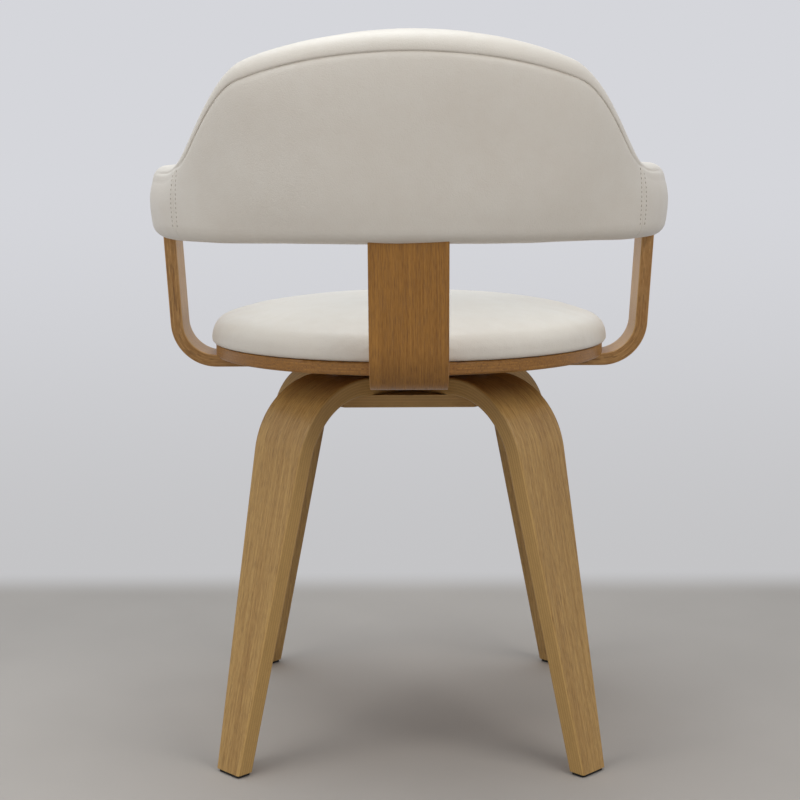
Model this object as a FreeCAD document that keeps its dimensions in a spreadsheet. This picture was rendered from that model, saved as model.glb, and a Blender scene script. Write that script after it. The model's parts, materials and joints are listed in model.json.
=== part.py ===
"""Swivel dining chair: bent plywood legs and strips, a round padded seat and a curved padded back.

Millimetres. +Z is up, the sitter faces -Y, and the origin is on the swivel axis at the floor.
"""

import FreeCAD, Part
import math
import os

import Sketcher
from FreeCAD import Placement, Rotation, Vector

# Driving sizes: name, value and what it measures. Lengths in mm, angles in degrees, shares of one
SIZES = (
    ("foot_spread", 360, "between the centres of neighbouring feet"),
    ("foot_width", 35, "width of a leg at the floor"),
    ("foot_pad_height", 3, "thickness of the pad under a leg"),
    ("foot_pad_inset", 1.5, "how far a pad stays inside its leg's end"),
    ("leg_tilt", 12.7, "lean of a leg from upright"),
    ("arch_height", 393.5, "top face of the crossing above the floor"),
    ("arch_thickness", 18.5, "thickness of the leg laminate"),
    ("arch_width", 75, "width of an arch at the crossing"),
    ("arch_bend", 91, "outer radius of the bend into the leg"),
    ("taper_drop", 37.5, "from the arch's top face down to where the leg has its full width"),
    ("taper_blend", 16, "length of the curve that ends the taper, each way"),
    ("arch_edge_round", 2.5, "rounding of the arch's long edges"),
    ("lap_gap", 0.1, "clearance on each side of the half lap"),
    ("clamp_past", 9, "how far the plate under the crossing runs past the start of the bends"),
    ("clamp_share", 0.57, "half side of that plate, as a share of where its cut corners meet its axes"),
    ("clamp_thickness", 13.2, "thickness of that plate"),
    ("clamp_relief", 0.11, "slope of its upper face where it clears the bends"),
    ("clamp_relief_start", 1, "how far inside the bends that slope starts"),
    ("clamp_edge_round", 1.5, "rounding of that plate's edges"),
    ("swivel_height", 16.9, "swivel from its lower to its upper face"),
    ("swivel_side", 150, "side of the square swivel plates"),
    ("swivel_corner", 14, "corner radius of the swivel plates"),
    ("plate_thickness", 2.5, "sheet thickness of the swivel plates"),
    ("track_radius", 50, "radius of the ring of balls"),
    ("race_half_width", 9, "half width of the raised ring that holds a track"),
    ("ball_radius", 3.5, "radius of a ball"),
    ("ball_clearance", 0.05, "running clearance of a ball in its track"),
    ("ball_count", 12, "balls in the ring"),
    ("race_gap", 3, "between the two raised rings"),
    ("cage_thickness", 1, "thickness of the ring that spaces the balls"),
    ("cage_half_width", 7, "half width of that ring"),
    ("pin_radius", 6, "radius of the centre pin"),
    ("pin_clearance", 0.05, "radial running clearance of the centre pin"),
    ("pin_head_radius", 11, "radius of the centre pin's head"),
    ("pin_head_height", 2, "thickness of the centre pin's head"),
    ("pin_head_clearance", 0.3, "between the pin's head and the dished plate"),
    ("dish_radius", 16, "radius of the dish round the centre pin"),
    ("bolt_spacing", 110, "bolt holes of both swivel plates, hole to hole"),
    ("base_bolt_radius", 4, "radius of the bolts through the crossing"),
    ("base_head_radius", 7.5, "radius of their heads"),
    ("base_head_height", 3, "height of their heads"),
    ("washer_radius", 10, "radius of their washers"),
    ("washer_thickness", 1.6, "thickness of their washers"),
    ("nut_flats", 13, "their nuts across flats"),
    ("nut_height", 6.5, "height of their nuts"),
    ("bolt_end", 1, "thread beyond a nut, flush with the plate"),
    ("recess_clearance", 1, "radial room round a washer in its recess"),
    ("hole_clearance", 0.3, "radial clearance of bolts in wood and sheet"),
    ("thread_clearance", 0.05, "radial gap left between a thread and its nut"),
    ("plate_bolt_radius", 3, "radius of the bolts into the tee nuts"),
    ("plate_head_radius", 5.5, "radius of their heads"),
    ("plate_head_height", 3, "height of their heads"),
    ("tee_barrel_radius", 4.2, "outer radius of a tee nut's barrel"),
    ("tee_barrel_length", 7.5, "length of a tee nut's barrel under its flange"),
    ("tee_flange_radius", 9, "radius of a tee nut's flange"),
    ("tee_flange_thickness", 1.5, "thickness of a tee nut's flange"),
    ("board_notch", 2, "how deep the seat board is notched for the strips' bends"),
    ("seat_board_thickness", 13.2, "thickness of the seat board"),
    ("seat_edge_round", 2, "rounding of the seat board's edges"),
    ("cushion_overhang", 4.5, "how far the cushion stands out past the seat board"),
    ("cushion_height", 51.4, "cushion from the seat board to the top of its crown"),
    ("shoulder_bend", 24, "radius of the cushion's upper edge"),
    ("shoulder_drop", 42.2, "from the top of the cushion's crown down to the centre of that edge"),
    ("tuck_bend", 8, "radius where the cover tucks under the cushion"),
    ("cover_thickness", 1.2, "thickness of the seat and back covers"),
    ("cover_return", 20, "how far the seat cover turns in under the pad board"),
    ("pad_board_short", 15.5, "how far the board inside the cushion stays inside its side"),
    ("pad_board_thickness", 8, "thickness of the board inside the cushion"),
    ("wood_screw_radius", 2, "radius of a wood screw"),
    ("wood_screw_head", 4, "radius of a countersunk screw head"),
    ("wood_left", 2, "wood left over the point of a screw"),
    ("pad_screw_edge", 48, "screws that hold the cushion, inside its board's edge"),
    ("strip_thickness", 13, "thickness of the bent strips"),
    ("strip_bend", 49, "outer bend radius of the strips"),
    ("strip_gap", 17, "from the swivel plates to the strips' inner ends"),
    ("strip_edge_round", 1.5, "rounding of the strips' long edges"),
    ("arm_width", 54, "width of a side strip"),
    ("rear_width", 75, "width of the rear strip"),
    ("arm_lean", 3.3, "outward lean of the side strips and wings"),
    ("rear_lean", 8, "rearward lean of the rear strip and the back"),
    ("strip_screw_inset", 28, "inner row of strip screws from the strips' inner ends"),
    ("strip_screw_edge", 31, "outer row of strip screws from the seat board's edge"),
    ("strip_screw_spacing", 28, "between the two screws of a row"),
    ("back_bottom", 537, "bottom edge of the back above the floor"),
    ("back_half_width", 267.5, "outer half width of the back at its bottom edge"),
    ("back_centre", 27, "the back's widest line behind the swivel axis"),
    ("back_thickness", 50, "thickness of the padded back"),
    ("crest_height", 190.4, "height of the back at its middle"),
    ("wing_height", 74, "height of the wings that serve as arm rests"),
    ("wing_straight", 72, "straight length of a wing before its rounded end"),
    ("fall_start", 33.3, "turn from the rear where the top edge starts to fall"),
    ("fall_end", 65, "turn from the rear where it reaches the wing"),
    ("crown_share", 0.344, "share of the rise lost by the gentle crown at half of a quarter turn"),
    ("crest_round", 17.5, "rounding of the top edge at the middle"),
    ("wing_round", 9, "rounding of the top edge at the wings"),
    ("round_end", 50, "turn from the rear where the rounding has shrunk to that of the wings"),
    ("bottom_round", 17, "rounding of the bottom edge"),
    ("strip_cover", 6.2, "cover and foam over the strips' outer face"),
    ("rear_let_in", 2.6, "how deep the flat rear strip is let into the curved core"),
    ("core_thickness", 10, "thickness of the back's moulded core"),
    ("core_foot", 8, "from the back's bottom edge up to the core"),
    ("core_drop", 12, "from the back's top edge down to the core"),
    ("core_short", 8, "how far the core stops short of a wing's rounding"),
    ("core_gap", 0.25, "clearance of the foam round the core's edges"),
    ("core_bed", 0.05, "clearance of the foam on the core's inner face"),
    ("arm_drop", 16, "from the top of the wings down to the side strips' ends"),
    ("rear_drop", 75, "from the top of the crest down to the rear strip's end"),
    ("arm_bolt_low", 19, "lower bolt of a side strip above the back's bottom"),
    ("arm_bolt_end", 13, "upper bolt of a side strip below the strip's end"),
    ("rear_bolt_low", 30, "lower bolt of the rear strip above the back's bottom"),
    ("rear_bolt_end", 23, "upper bolt of the rear strip below the strip's end"),
    ("seam_turn", 57.5, "turn from the rear where the wing's upright seam lies"),
    ("overrun", 5, "how far a cutting shape runs past what it cuts"),
)

# Sections along the curved back. The count is even, so that none stands on the middle plane, where its flat
# plane would meet the bolt rooms exactly on their axes
BACK_STATIONS = 26
UPRIGHT = Vector(0, 0, 1)
# Difference under which two places count as one
TOUCH = 1e-6
# Angles in degrees that are what they are at any size, and the sides of a nut
FULL_TURN = 360
HALF_TURN = 180
RIGHT_ANGLE = 90
DIAGONAL = 45
NUT_SIDES = 6


class Size:
    """A value with the expression that gives it, so that sums are written once."""

    def __init__(self, value, text):
        self.value = float(value)
        self.text = text

    def __add__(self, other):
        other = as_size(other)
        return Size(self.value + other.value, f"({self.text} + {other.text})")

    def __sub__(self, other):
        other = as_size(other)
        return Size(self.value - other.value, f"({self.text} - {other.text})")

    def __mul__(self, other):
        other = as_size(other)
        return Size(self.value * other.value, f"({self.text} * {other.text})")

    def __truediv__(self, other):
        other = as_size(other)
        return Size(self.value / other.value, f"({self.text} / {other.text})")

    def __neg__(self):
        return Size(-self.value, f"(-1 * {self.text})")

    def __rmul__(self, other):
        return self * other


def as_size(value):
    return value if isinstance(value, Size) else Size(value, repr(value))


def sine(angle):
    return Size(math.sin(math.radians(angle.value)), f"sin({angle.text})")


def cosine(angle):
    return Size(math.cos(math.radians(angle.value)), f"cos({angle.text})")


def tangent(angle):
    return Size(math.tan(math.radians(angle.value)), f"tan({angle.text})")


def root(size):
    return Size(math.sqrt(size.value), f"sqrt({size.text})")


doc = FreeCAD.newDocument("swivel_chair")
sheet = doc.addObject("Spreadsheet::Sheet", "sizes")
size = {}
for row, (name, value, meaning) in enumerate(SIZES, start=1):
    sheet.set(f"A{row}", meaning)
    sheet.set(f"B{row}", str(value))
    sheet.setAlias(f"B{row}", name)
    size[name] = Size(value, f"sizes.{name}")
doc.recompute()
ZERO = Size(0, "0")


def mm(name):
    """The number in the sheet under a name, for shapes set from code."""
    return float(getattr(sheet, name))


# Helpers that build and bind features

def new_body(label):
    body = doc.addObject("PartDesign::Body", label)
    body.Label = label
    return body


def origin_item(body, role):
    return next(item for item in body.Origin.OriginFeatures if item.Role == role)


def bind(item, prop, amount):
    amount = as_size(amount)
    setattr(item, prop, amount.value)
    item.setExpression(prop, amount.text)


def new_sketch(body, plane, shift=None, rise=None):
    """A sketch on an origin plane, moved along its own first axis or off its plane."""
    sketch = body.newObject("Sketcher::SketchObject", body.Name + "_sketch")
    sketch.AttachmentSupport = [(origin_item(body, plane), "")]
    sketch.MapMode = "FlatFace"
    if shift is not None:
        sketch.setExpression(".AttachmentOffset.Base.x", shift.text)
    if rise is not None:
        sketch.setExpression(".AttachmentOffset.Base.z", rise.text)
    return sketch


def hold(sketch, kind, first, first_point, second, second_point, amount):
    """One distance constraint, bound to its expression unless it is zero."""
    index = sketch.addConstraint(
        Sketcher.Constraint(kind, first, first_point, second, second_point, amount.value))
    if amount is not ZERO:
        sketch.setExpression(f"Constraints[{index}]", amount.text)


def hold_point(sketch, geometry, point, place):
    hold(sketch, "DistanceX", -1, 1, geometry, point, place[0])
    hold(sketch, "DistanceY", -1, 1, geometry, point, place[1])


def hold_radius(sketch, geometry, radius):
    index = sketch.addConstraint(Sketcher.Constraint("Radius", geometry, radius.value))
    sketch.setExpression(f"Constraints[{index}]", radius.text)


def arc_between(start, end, radius, leftward):
    """The short arc from start to end, and whether the sketcher stores it start first."""
    ax, ay, bx, by = start[0].value, start[1].value, end[0].value, end[1].value
    half = math.hypot(bx - ax, by - ay) / 2
    off = math.sqrt(max(radius.value ** 2 - half ** 2, 0))
    side = 1 if leftward else -1
    cx = (ax + bx) / 2 - side * off * (by - ay) / (2 * half)
    cy = (ay + by) / 2 + side * off * (bx - ax) / (2 * half)
    circle = Part.Circle(Vector(cx, cy, 0), UPRIGHT, radius.value)
    begin = math.atan2(ay - cy, ax - cx)
    finish = math.atan2(by - cy, bx - cx)
    if leftward:
        return Part.ArcOfCircle(circle, begin, finish), True
    return Part.ArcOfCircle(circle, finish, begin), False


def draw_outline(sketch, start, *moves):
    """A closed outline. A move is (end,) for a line or (end, radius, leftward) for an arc."""
    ends = []
    place = start
    for move in moves:
        if len(move) == 1:
            a = Vector(place[0].value, place[1].value, 0)
            b = Vector(move[0][0].value, move[0][1].value, 0)
            geometry = sketch.addGeometry(Part.LineSegment(a, b))
            ends.append((geometry, 1, 2, place, None))
        else:
            arc, forward = arc_between(place, move[0], move[1], move[2])
            geometry = sketch.addGeometry(arc)
            ends.append((geometry, 1 if forward else 2, 2 if forward else 1, place, move[1]))
        place = move[0]
    for index, (geometry, first, _, place, radius) in enumerate(ends):
        before = ends[index - 1]
        sketch.addConstraint(Sketcher.Constraint("Coincident", before[0], before[2], geometry, first))
        hold_point(sketch, geometry, first, place)
        if radius is not None:
            hold_radius(sketch, geometry, radius)


def draw_circle(sketch, centre, radius):
    circle = Part.Circle(Vector(centre[0].value, centre[1].value, 0), UPRIGHT, radius.value)
    geometry = sketch.addGeometry(circle)
    hold_point(sketch, geometry, 3, centre)
    hold_radius(sketch, geometry, radius)


def draw_box(sketch, left, low, right, high):
    draw_outline(sketch, (left, low), ((right, low),), ((right, high),), ((left, high),), ((left, low),))


def pad(body, sketch, length, both_ways=False, down=False):
    feature = body.newObject("PartDesign::Pad", body.Name + "_pad")
    feature.Profile = (sketch, "")
    bind(feature, "Length", length)
    feature.SideType = "Symmetric" if both_ways else "One side"
    feature.Reversed = down
    return feature


def cut_through(body, sketch):
    """Cut the sketch right through the body, both ways from its plane."""
    doc.recompute()
    before = body.Shape.Volume
    feature = body.newObject("PartDesign::Pocket", body.Name + "_cut")
    feature.Profile = (sketch, "")
    feature.Type = "ThroughAll"
    feature.SideType = "Symmetric"
    doc.recompute()
    assert body.Shape.Volume < before, f"{feature.Name} cuts nothing"
    return feature


def turned(body, sketch, cutting=False):
    """Turn a sketch round its own upright axis, to add or to cut."""
    kind = "PartDesign::Groove" if cutting else "PartDesign::Revolution"
    doc.recompute()
    before = body.Shape.Volume if cutting else 0
    feature = body.newObject(kind, body.Name + "_turn")
    feature.Profile = (sketch, "")
    feature.ReferenceAxis = (sketch, ["V_Axis"])
    feature.Angle = FULL_TURN
    doc.recompute()
    assert not cutting or body.Shape.Volume < before, f"{feature.Name} cuts nothing"
    return feature


def ring_of(body, features, count, sweep=FULL_TURN):
    """Repeat features evenly round the upright axis."""
    pattern = body.newObject("PartDesign::PolarPattern", body.Name + "_ring")
    pattern.Originals = features if isinstance(features, list) else [features]
    pattern.Axis = (origin_item(body, "Z_Axis"), [""])
    pattern.Angle = sweep
    count = as_size(count)
    pattern.Occurrences = int(count.value)
    pattern.setExpression("Occurrences", count.text)
    body.Tip = pattern
    doc.recompute()
    return pattern


def round_edges(body, radius, wanted):
    """Round the edges of the body that a test picks."""
    doc.recompute()
    base = body.Tip
    names = [f"Edge{i}" for i, edge in enumerate(base.Shape.Edges, start=1) if wanted(edge, base.Shape)]
    feature = body.newObject("PartDesign::Fillet", body.Name + "_round")
    feature.Base = (base, names)
    bind(feature, "Radius", radius)
    doc.recompute()
    return feature


def turn_about_axis(body, degrees):
    body.Placement = Placement(Vector(0, 0, 0), Rotation(UPRIGHT, degrees))


def middle(edge):
    return edge.valueAt((edge.FirstParameter + edge.LastParameter) / 2)


def is_long_edge(edge, shape):
    """Whether an edge parts a side face from a face that runs across the strip, along Y."""
    across = []
    for face in shape.ancestorsOfType(edge, Part.Face):
        normal = face.normalAt(*face.Surface.parameter(middle(edge)))
        across.append(abs(normal.y) < TOUCH)
    return any(across) and not all(across)


def set_shape(label, shape):
    item = doc.addObject("Part::Feature", label)
    item.Label = label
    item.Shape = shape
    return item


# Heights and places that several pieces share

foot_radius = size["foot_spread"] / root(as_size(2))
arch_underside = size["arch_height"] - size["arch_thickness"]
lap_height = size["arch_height"] - size["arch_thickness"] / 2
bend_reach = size["arch_bend"] * tangent((as_size(RIGHT_ANGLE) - size["leg_tilt"]) / 2)
leg_half_slice = size["arch_thickness"] / (2 * cosine(size["leg_tilt"]))


def leg_line(height, side):
    """Distance of a leg's outer (1) or inner (-1) face from the axis at a height."""
    return foot_radius + side * leg_half_slice - height * tangent(size["leg_tilt"])


bend_start = leg_line(size["arch_height"], 1) - bend_reach
taper_end = size["arch_height"] - size["taper_drop"]
clamp_underside = arch_underside - size["clamp_thickness"]
seat_underside = size["arch_height"] + size["swivel_height"]
seat_top = seat_underside + size["seat_board_thickness"]
bolt_circle = size["bolt_spacing"] / root(as_size(2))
nut_room = size["washer_thickness"] + size["nut_height"] + size["bolt_end"]
washer_top = clamp_underside + nut_room
ball_height = size["arch_height"] + size["swivel_height"] / 2
strip_underside = seat_underside - size["strip_thickness"]
pad_board_top = seat_top + size["cover_thickness"] + size["pad_board_thickness"]
strip_climb = size["back_bottom"] - strip_underside


def strip_out(lean):
    """From where a strip starts to bend to its outer face at the back's bottom edge, along the ground."""
    return size["strip_bend"] * tangent((as_size(RIGHT_ANGLE) - lean) / 2) + strip_climb * tangent(lean)


# The arms fix where all three strips start to bend, that fixes the seat board, and the rear follows
arm_face = size["back_half_width"] - size["strip_cover"] / cosine(size["arm_lean"])
strip_bend_start = arm_face - strip_out(size["arm_lean"])
rear_depth = size["strip_cover"] + size["rear_let_in"]
rear_face = strip_bend_start + strip_out(size["rear_lean"])
rear_reach = rear_face + rear_depth / cosine(size["rear_lean"])
back_reach = rear_reach - size["back_centre"]
seat_board_radius = strip_bend_start + size["board_notch"]
cushion_radius = seat_board_radius + size["cushion_overhang"]
pad_board_radius = cushion_radius - size["pad_board_short"]
shoulder_centre = cushion_radius - size["shoulder_bend"]
shoulder_height = seat_top + size["cushion_height"] - size["shoulder_drop"]
crown_squares = (shoulder_centre * shoulder_centre + size["shoulder_drop"] * size["shoulder_drop"]
                 - size["shoulder_bend"] * size["shoulder_bend"])
crown_bend = crown_squares / (2 * (size["shoulder_drop"] - size["shoulder_bend"]))
strip_start = size["swivel_side"] / 2 + size["strip_gap"]
arm_top = size["wing_height"] - size["arm_drop"]
rear_top = size["crest_height"] - size["rear_drop"]
arm_bolt_rises = (size["arm_bolt_low"], arm_top - size["arm_bolt_end"])
rear_bolt_rises = (size["rear_bolt_low"], rear_top - size["rear_bolt_end"])
pad_screw_offset = (pad_board_radius - size["pad_screw_edge"]) / root(as_size(2))
half_spacing = size["strip_screw_spacing"] / 2
strip_screw_rows = (strip_start + size["strip_screw_inset"], seat_board_radius - size["strip_screw_edge"])
strip_screw_places = [(radius, side * half_spacing) for radius in strip_screw_rows for side in (1, -1)]


# The base: two crossed arches, the plate under them, pads and bolts

def make_arch(label, turn, notch_low, notch_high):
    """A tapered bent strip that makes two legs, notched for the half lap."""
    body = new_body(label)
    side_view = new_sketch(body, "XZ_Plane")
    top = size["arch_height"]
    low = size["foot_pad_height"]
    outer_bend = size["arch_bend"]
    inner_bend = outer_bend - size["arch_thickness"]
    slope_out = bend_start + outer_bend * cosine(size["leg_tilt"])
    slope_in = bend_start + inner_bend * cosine(size["leg_tilt"])
    drop_out = top - outer_bend + outer_bend * sine(size["leg_tilt"])
    drop_in = top - outer_bend + inner_bend * sine(size["leg_tilt"])
    under = arch_underside
    draw_outline(
        side_view, (-bend_start, top), ((bend_start, top),),
        ((slope_out, drop_out), outer_bend, False),
        ((leg_line(low, 1), low),), ((leg_line(low, -1), low),), ((slope_in, drop_in),),
        ((bend_start, under), inner_bend, True), ((-bend_start, under),),
        ((-slope_in, drop_in), inner_bend, True),
        ((-leg_line(low, -1), low),), ((-leg_line(low, 1), low),), ((-slope_out, drop_out),),
        ((-bend_start, top), outer_bend, False))
    pad(body, side_view, size["arch_width"] + 2 * size["overrun"], both_ways=True)

    half = size["arch_width"] / 2
    foot = size["foot_width"] / 2
    slope = (half - foot) / taper_end
    blend_low = taper_end - size["taper_blend"]
    blend_high = taper_end + size["taper_blend"]
    blend_radius = 2 * size["taper_blend"] / slope
    beyond = half + 2 * size["overrun"]
    above = top + size["overrun"]
    for side in (1, -1):
        front_view = new_sketch(body, "YZ_Plane")
        draw_outline(
            front_view, (side * foot, ZERO), ((side * beyond, ZERO),), ((side * beyond, above),),
            ((side * half, above),), ((side * half, blend_high),),
            ((side * (foot + slope * blend_low), blend_low), blend_radius, side < 0),
            ((side * foot, ZERO),))
        cut_through(body, front_view)
    floor = low.value + TOUCH
    round_edges(body, size["arch_edge_round"],
                lambda edge, shape: is_long_edge(edge, shape) and middle(edge).z > floor)

    notch = new_sketch(body, "XZ_Plane")
    reach = half + size["lap_gap"]
    draw_box(notch, -reach, notch_low, reach, notch_high)
    cut_through(body, notch)
    holes = new_sketch(body, "XY_Plane")
    for side in (1, -1):
        draw_circle(holes, (side * bolt_circle, ZERO), size["base_bolt_radius"] + size["hole_clearance"])
    cut_through(body, holes)
    turn_about_axis(body, turn)


def make_clamp_plate():
    """Square plate with cut corners that reach past the bends, eased there, with recesses for the nuts."""
    body = new_body("clamp_plate")
    corner_sum = (bend_start + size["clamp_past"]) * root(as_size(2))
    half = corner_sum * size["clamp_share"]
    corner = corner_sum - half
    outline = new_sketch(body, "XY_Plane", rise=arch_underside)
    draw_outline(
        outline, (half, -corner), ((half, corner),), ((corner, half),), ((-corner, half),),
        ((-half, corner),), ((-half, -corner),), ((-corner, -half),), ((corner, -half),), ((half, -corner),))
    pad(body, outline, size["clamp_thickness"], down=True)
    low_face = clamp_underside.value
    round_edges(body, size["clamp_edge_round"], lambda edge, _: abs(middle(edge).z - low_face) < TOUCH)
    relief = new_sketch(body, "XZ_Plane")
    relief_start = bend_start - size["clamp_relief_start"]
    relief_end = corner_sum
    relief_low = arch_underside - (relief_end - relief_start) * size["clamp_relief"]
    above = arch_underside + size["overrun"]
    draw_outline(relief, (relief_start, arch_underside), ((relief_end, relief_low),), ((relief_end, above),),
                 ((relief_start, above),), ((relief_start, arch_underside),))
    turned(body, relief, cutting=True)
    holes = new_sketch(body, "XY_Plane")
    offset = size["bolt_spacing"] / 2
    for x in (offset, -offset):
        for y in (offset, -offset):
            draw_circle(holes, (x, y), size["base_bolt_radius"] + size["hole_clearance"])
    cut_through(body, holes)
    recess = new_sketch(body, "XZ_Plane", shift=offset, rise=offset)
    draw_box(recess, ZERO, clamp_underside - size["overrun"],
             size["washer_radius"] + size["recess_clearance"], washer_top)
    ring_of(body, turned(body, recess, cutting=True), 4)


def make_foot_pad(label, turn):
    """Thin pad under one leg, a little smaller than the leg's end."""
    body = new_body(label)
    outline = new_sketch(body, "XY_Plane")
    low = size["foot_pad_height"]
    half = size["foot_width"] / 2 - size["foot_pad_inset"]
    draw_box(outline, leg_line(low, -1) + size["foot_pad_inset"], -half,
             leg_line(low, 1) - size["foot_pad_inset"], half)
    pad(body, outline, low)
    round_edges(body, size["foot_pad_height"],
                lambda edge, _: abs(edge.Vertexes[0].Z - edge.Vertexes[1].Z) > mm("foot_pad_height") / 2)
    turn_about_axis(body, turn)


def turned_fastener(label, outline_moves, radius, count, turn):
    """A ring of turned fasteners that share one outline, each upright on its own axis."""
    body = new_body(label)
    outline = new_sketch(body, "XZ_Plane", shift=radius)
    draw_outline(outline, *outline_moves)
    ring_of(body, turned(body, outline), count)
    turn_about_axis(body, turn)


def headed_outline(tip, seat, head_top, shank, head):
    """Half outline of a bolt whose head is above its shank, or below it if head_top is lower."""
    return ((ZERO, tip), ((shank, tip),), ((shank, seat),), ((head, seat),), ((head, head_top),),
            ((ZERO, head_top),), ((ZERO, tip),))


def make_base_fasteners():
    head_seat = size["arch_height"] + size["plate_thickness"]
    nut_top = washer_top - size["washer_thickness"]
    tip = nut_top - size["nut_height"] - size["bolt_end"]
    turned_fastener(
        "base_bolts",
        headed_outline(tip, head_seat, head_seat + size["base_head_height"],
                       size["base_bolt_radius"], size["base_head_radius"]),
        bolt_circle, 4, DIAGONAL)
    bore = size["base_bolt_radius"] + size["thread_clearance"]
    turned_fastener(
        "base_washers",
        ((bore, nut_top), ((size["washer_radius"], nut_top),), ((size["washer_radius"], washer_top),),
         ((bore, washer_top),), ((bore, nut_top),)),
        bolt_circle, 4, DIAGONAL)
    nuts = new_body("base_nuts")
    outline = new_sketch(nuts, "XY_Plane", rise=nut_top)
    across = size["nut_flats"] / 2
    corner = across / cosine(as_size(HALF_TURN / NUT_SIDES))
    points = []
    for step in range(NUT_SIDES):
        angle = as_size(FULL_TURN / NUT_SIDES * step)
        points.append((bolt_circle + corner * cosine(angle), corner * sine(angle)))
    draw_outline(outline, points[0], *[(point,) for point in points[1:] + points[:1]])
    draw_circle(outline, (bolt_circle, ZERO), bore)
    ring_of(nuts, pad(nuts, outline, size["nut_height"], down=True), 4)
    turn_about_axis(nuts, DIAGONAL)


# The swivel: two pressed plates with ball tracks, a caged ring of balls and a headed pin

def square_plate(body, rise, bolt_radius):
    """Square sheet with round corners and four bolt holes."""
    outline = new_sketch(body, "XY_Plane", rise=rise)
    half = size["swivel_side"] / 2
    draw_box(outline, -half, -half, half, half)
    offset = size["bolt_spacing"] / 2
    for x in (offset, -offset):
        for y in (offset, -offset):
            draw_circle(outline, (x, y), bolt_radius + size["hole_clearance"])
    pad(body, outline, size["plate_thickness"])
    near_corner = mm("swivel_side") / 2 - mm("plate_thickness")
    round_edges(body, size["swivel_corner"],
                lambda edge, _: min(abs(middle(edge).x), abs(middle(edge).y)) > near_corner)


def cut_track(body):
    """The round groove that the balls run in."""
    groove = new_sketch(body, "XZ_Plane")
    draw_circle(groove, (size["track_radius"], ball_height), size["ball_radius"] + size["ball_clearance"])
    turned(body, groove, cutting=True)


def make_swivel_lower_plate():
    body = new_body("swivel_lower_plate")
    floor = size["arch_height"]
    square_plate(body, floor, size["base_bolt_radius"])
    ring = new_sketch(body, "XZ_Plane")
    draw_box(ring, size["track_radius"] - size["race_half_width"], floor,
             size["track_radius"] + size["race_half_width"], ball_height - size["race_gap"] / 2)
    turned(body, ring)
    cut_track(body)


def make_swivel_upper_plate():
    """The upper plate hangs its ring and a dish for the pin's head below its sheet."""
    body = new_body("swivel_upper_plate")
    ceiling = seat_underside
    square_plate(body, ceiling - size["plate_thickness"], size["plate_bolt_radius"])
    ring = new_sketch(body, "XZ_Plane")
    draw_box(ring, size["track_radius"] - size["race_half_width"], ball_height + size["race_gap"] / 2,
             size["track_radius"] + size["race_half_width"], ceiling)
    turned(body, ring)
    cut_track(body)
    dish_top = ceiling - size["pin_head_height"] - 2 * size["pin_head_clearance"]
    dish = new_sketch(body, "XZ_Plane")
    draw_box(dish, ZERO, dish_top - size["plate_thickness"], size["dish_radius"], ceiling)
    turned(body, dish)
    hollow = new_sketch(body, "XZ_Plane")
    draw_box(hollow, ZERO, dish_top, size["dish_radius"] - size["plate_thickness"],
             ceiling + size["overrun"])
    turned(body, hollow, cutting=True)
    bore = new_sketch(body, "XY_Plane")
    draw_circle(bore, (ZERO, ZERO), size["pin_radius"] + size["pin_clearance"])
    cut_through(body, bore)


def make_swivel_centre_pin():
    body = new_body("swivel_centre_pin")
    outline = new_sketch(body, "XZ_Plane")
    head_top = seat_underside - size["pin_head_clearance"]
    draw_outline(outline, *headed_outline(
        size["arch_height"] + size["plate_thickness"], head_top - size["pin_head_height"], head_top,
        size["pin_radius"], size["pin_head_radius"]))
    turned(body, outline)


def make_balls_and_cage():
    balls = new_body("swivel_balls")
    half_disc = new_sketch(balls, "XZ_Plane", shift=size["track_radius"])
    low, high = ball_height - size["ball_radius"], ball_height + size["ball_radius"]
    draw_outline(half_disc, (ZERO, low), ((size["ball_radius"], ball_height), size["ball_radius"], True),
                 ((ZERO, high), size["ball_radius"], True), ((ZERO, low),))
    ring_of(balls, turned(balls, half_disc), size["ball_count"])

    cage = new_body("swivel_ball_cage")
    band = new_sketch(cage, "XZ_Plane")
    half = size["cage_thickness"] / 2
    draw_box(band, size["track_radius"] - size["cage_half_width"], ball_height - half,
             size["track_radius"] + size["cage_half_width"], ball_height + half)
    turned(cage, band)
    window = new_sketch(cage, "XY_Plane")
    draw_circle(window, (size["track_radius"], ZERO), size["ball_radius"] + size["ball_clearance"])
    ring_of(cage, cut_through(cage, window), size["ball_count"])


# The seat board, its tee nuts and bolts, and the cushion

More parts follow.
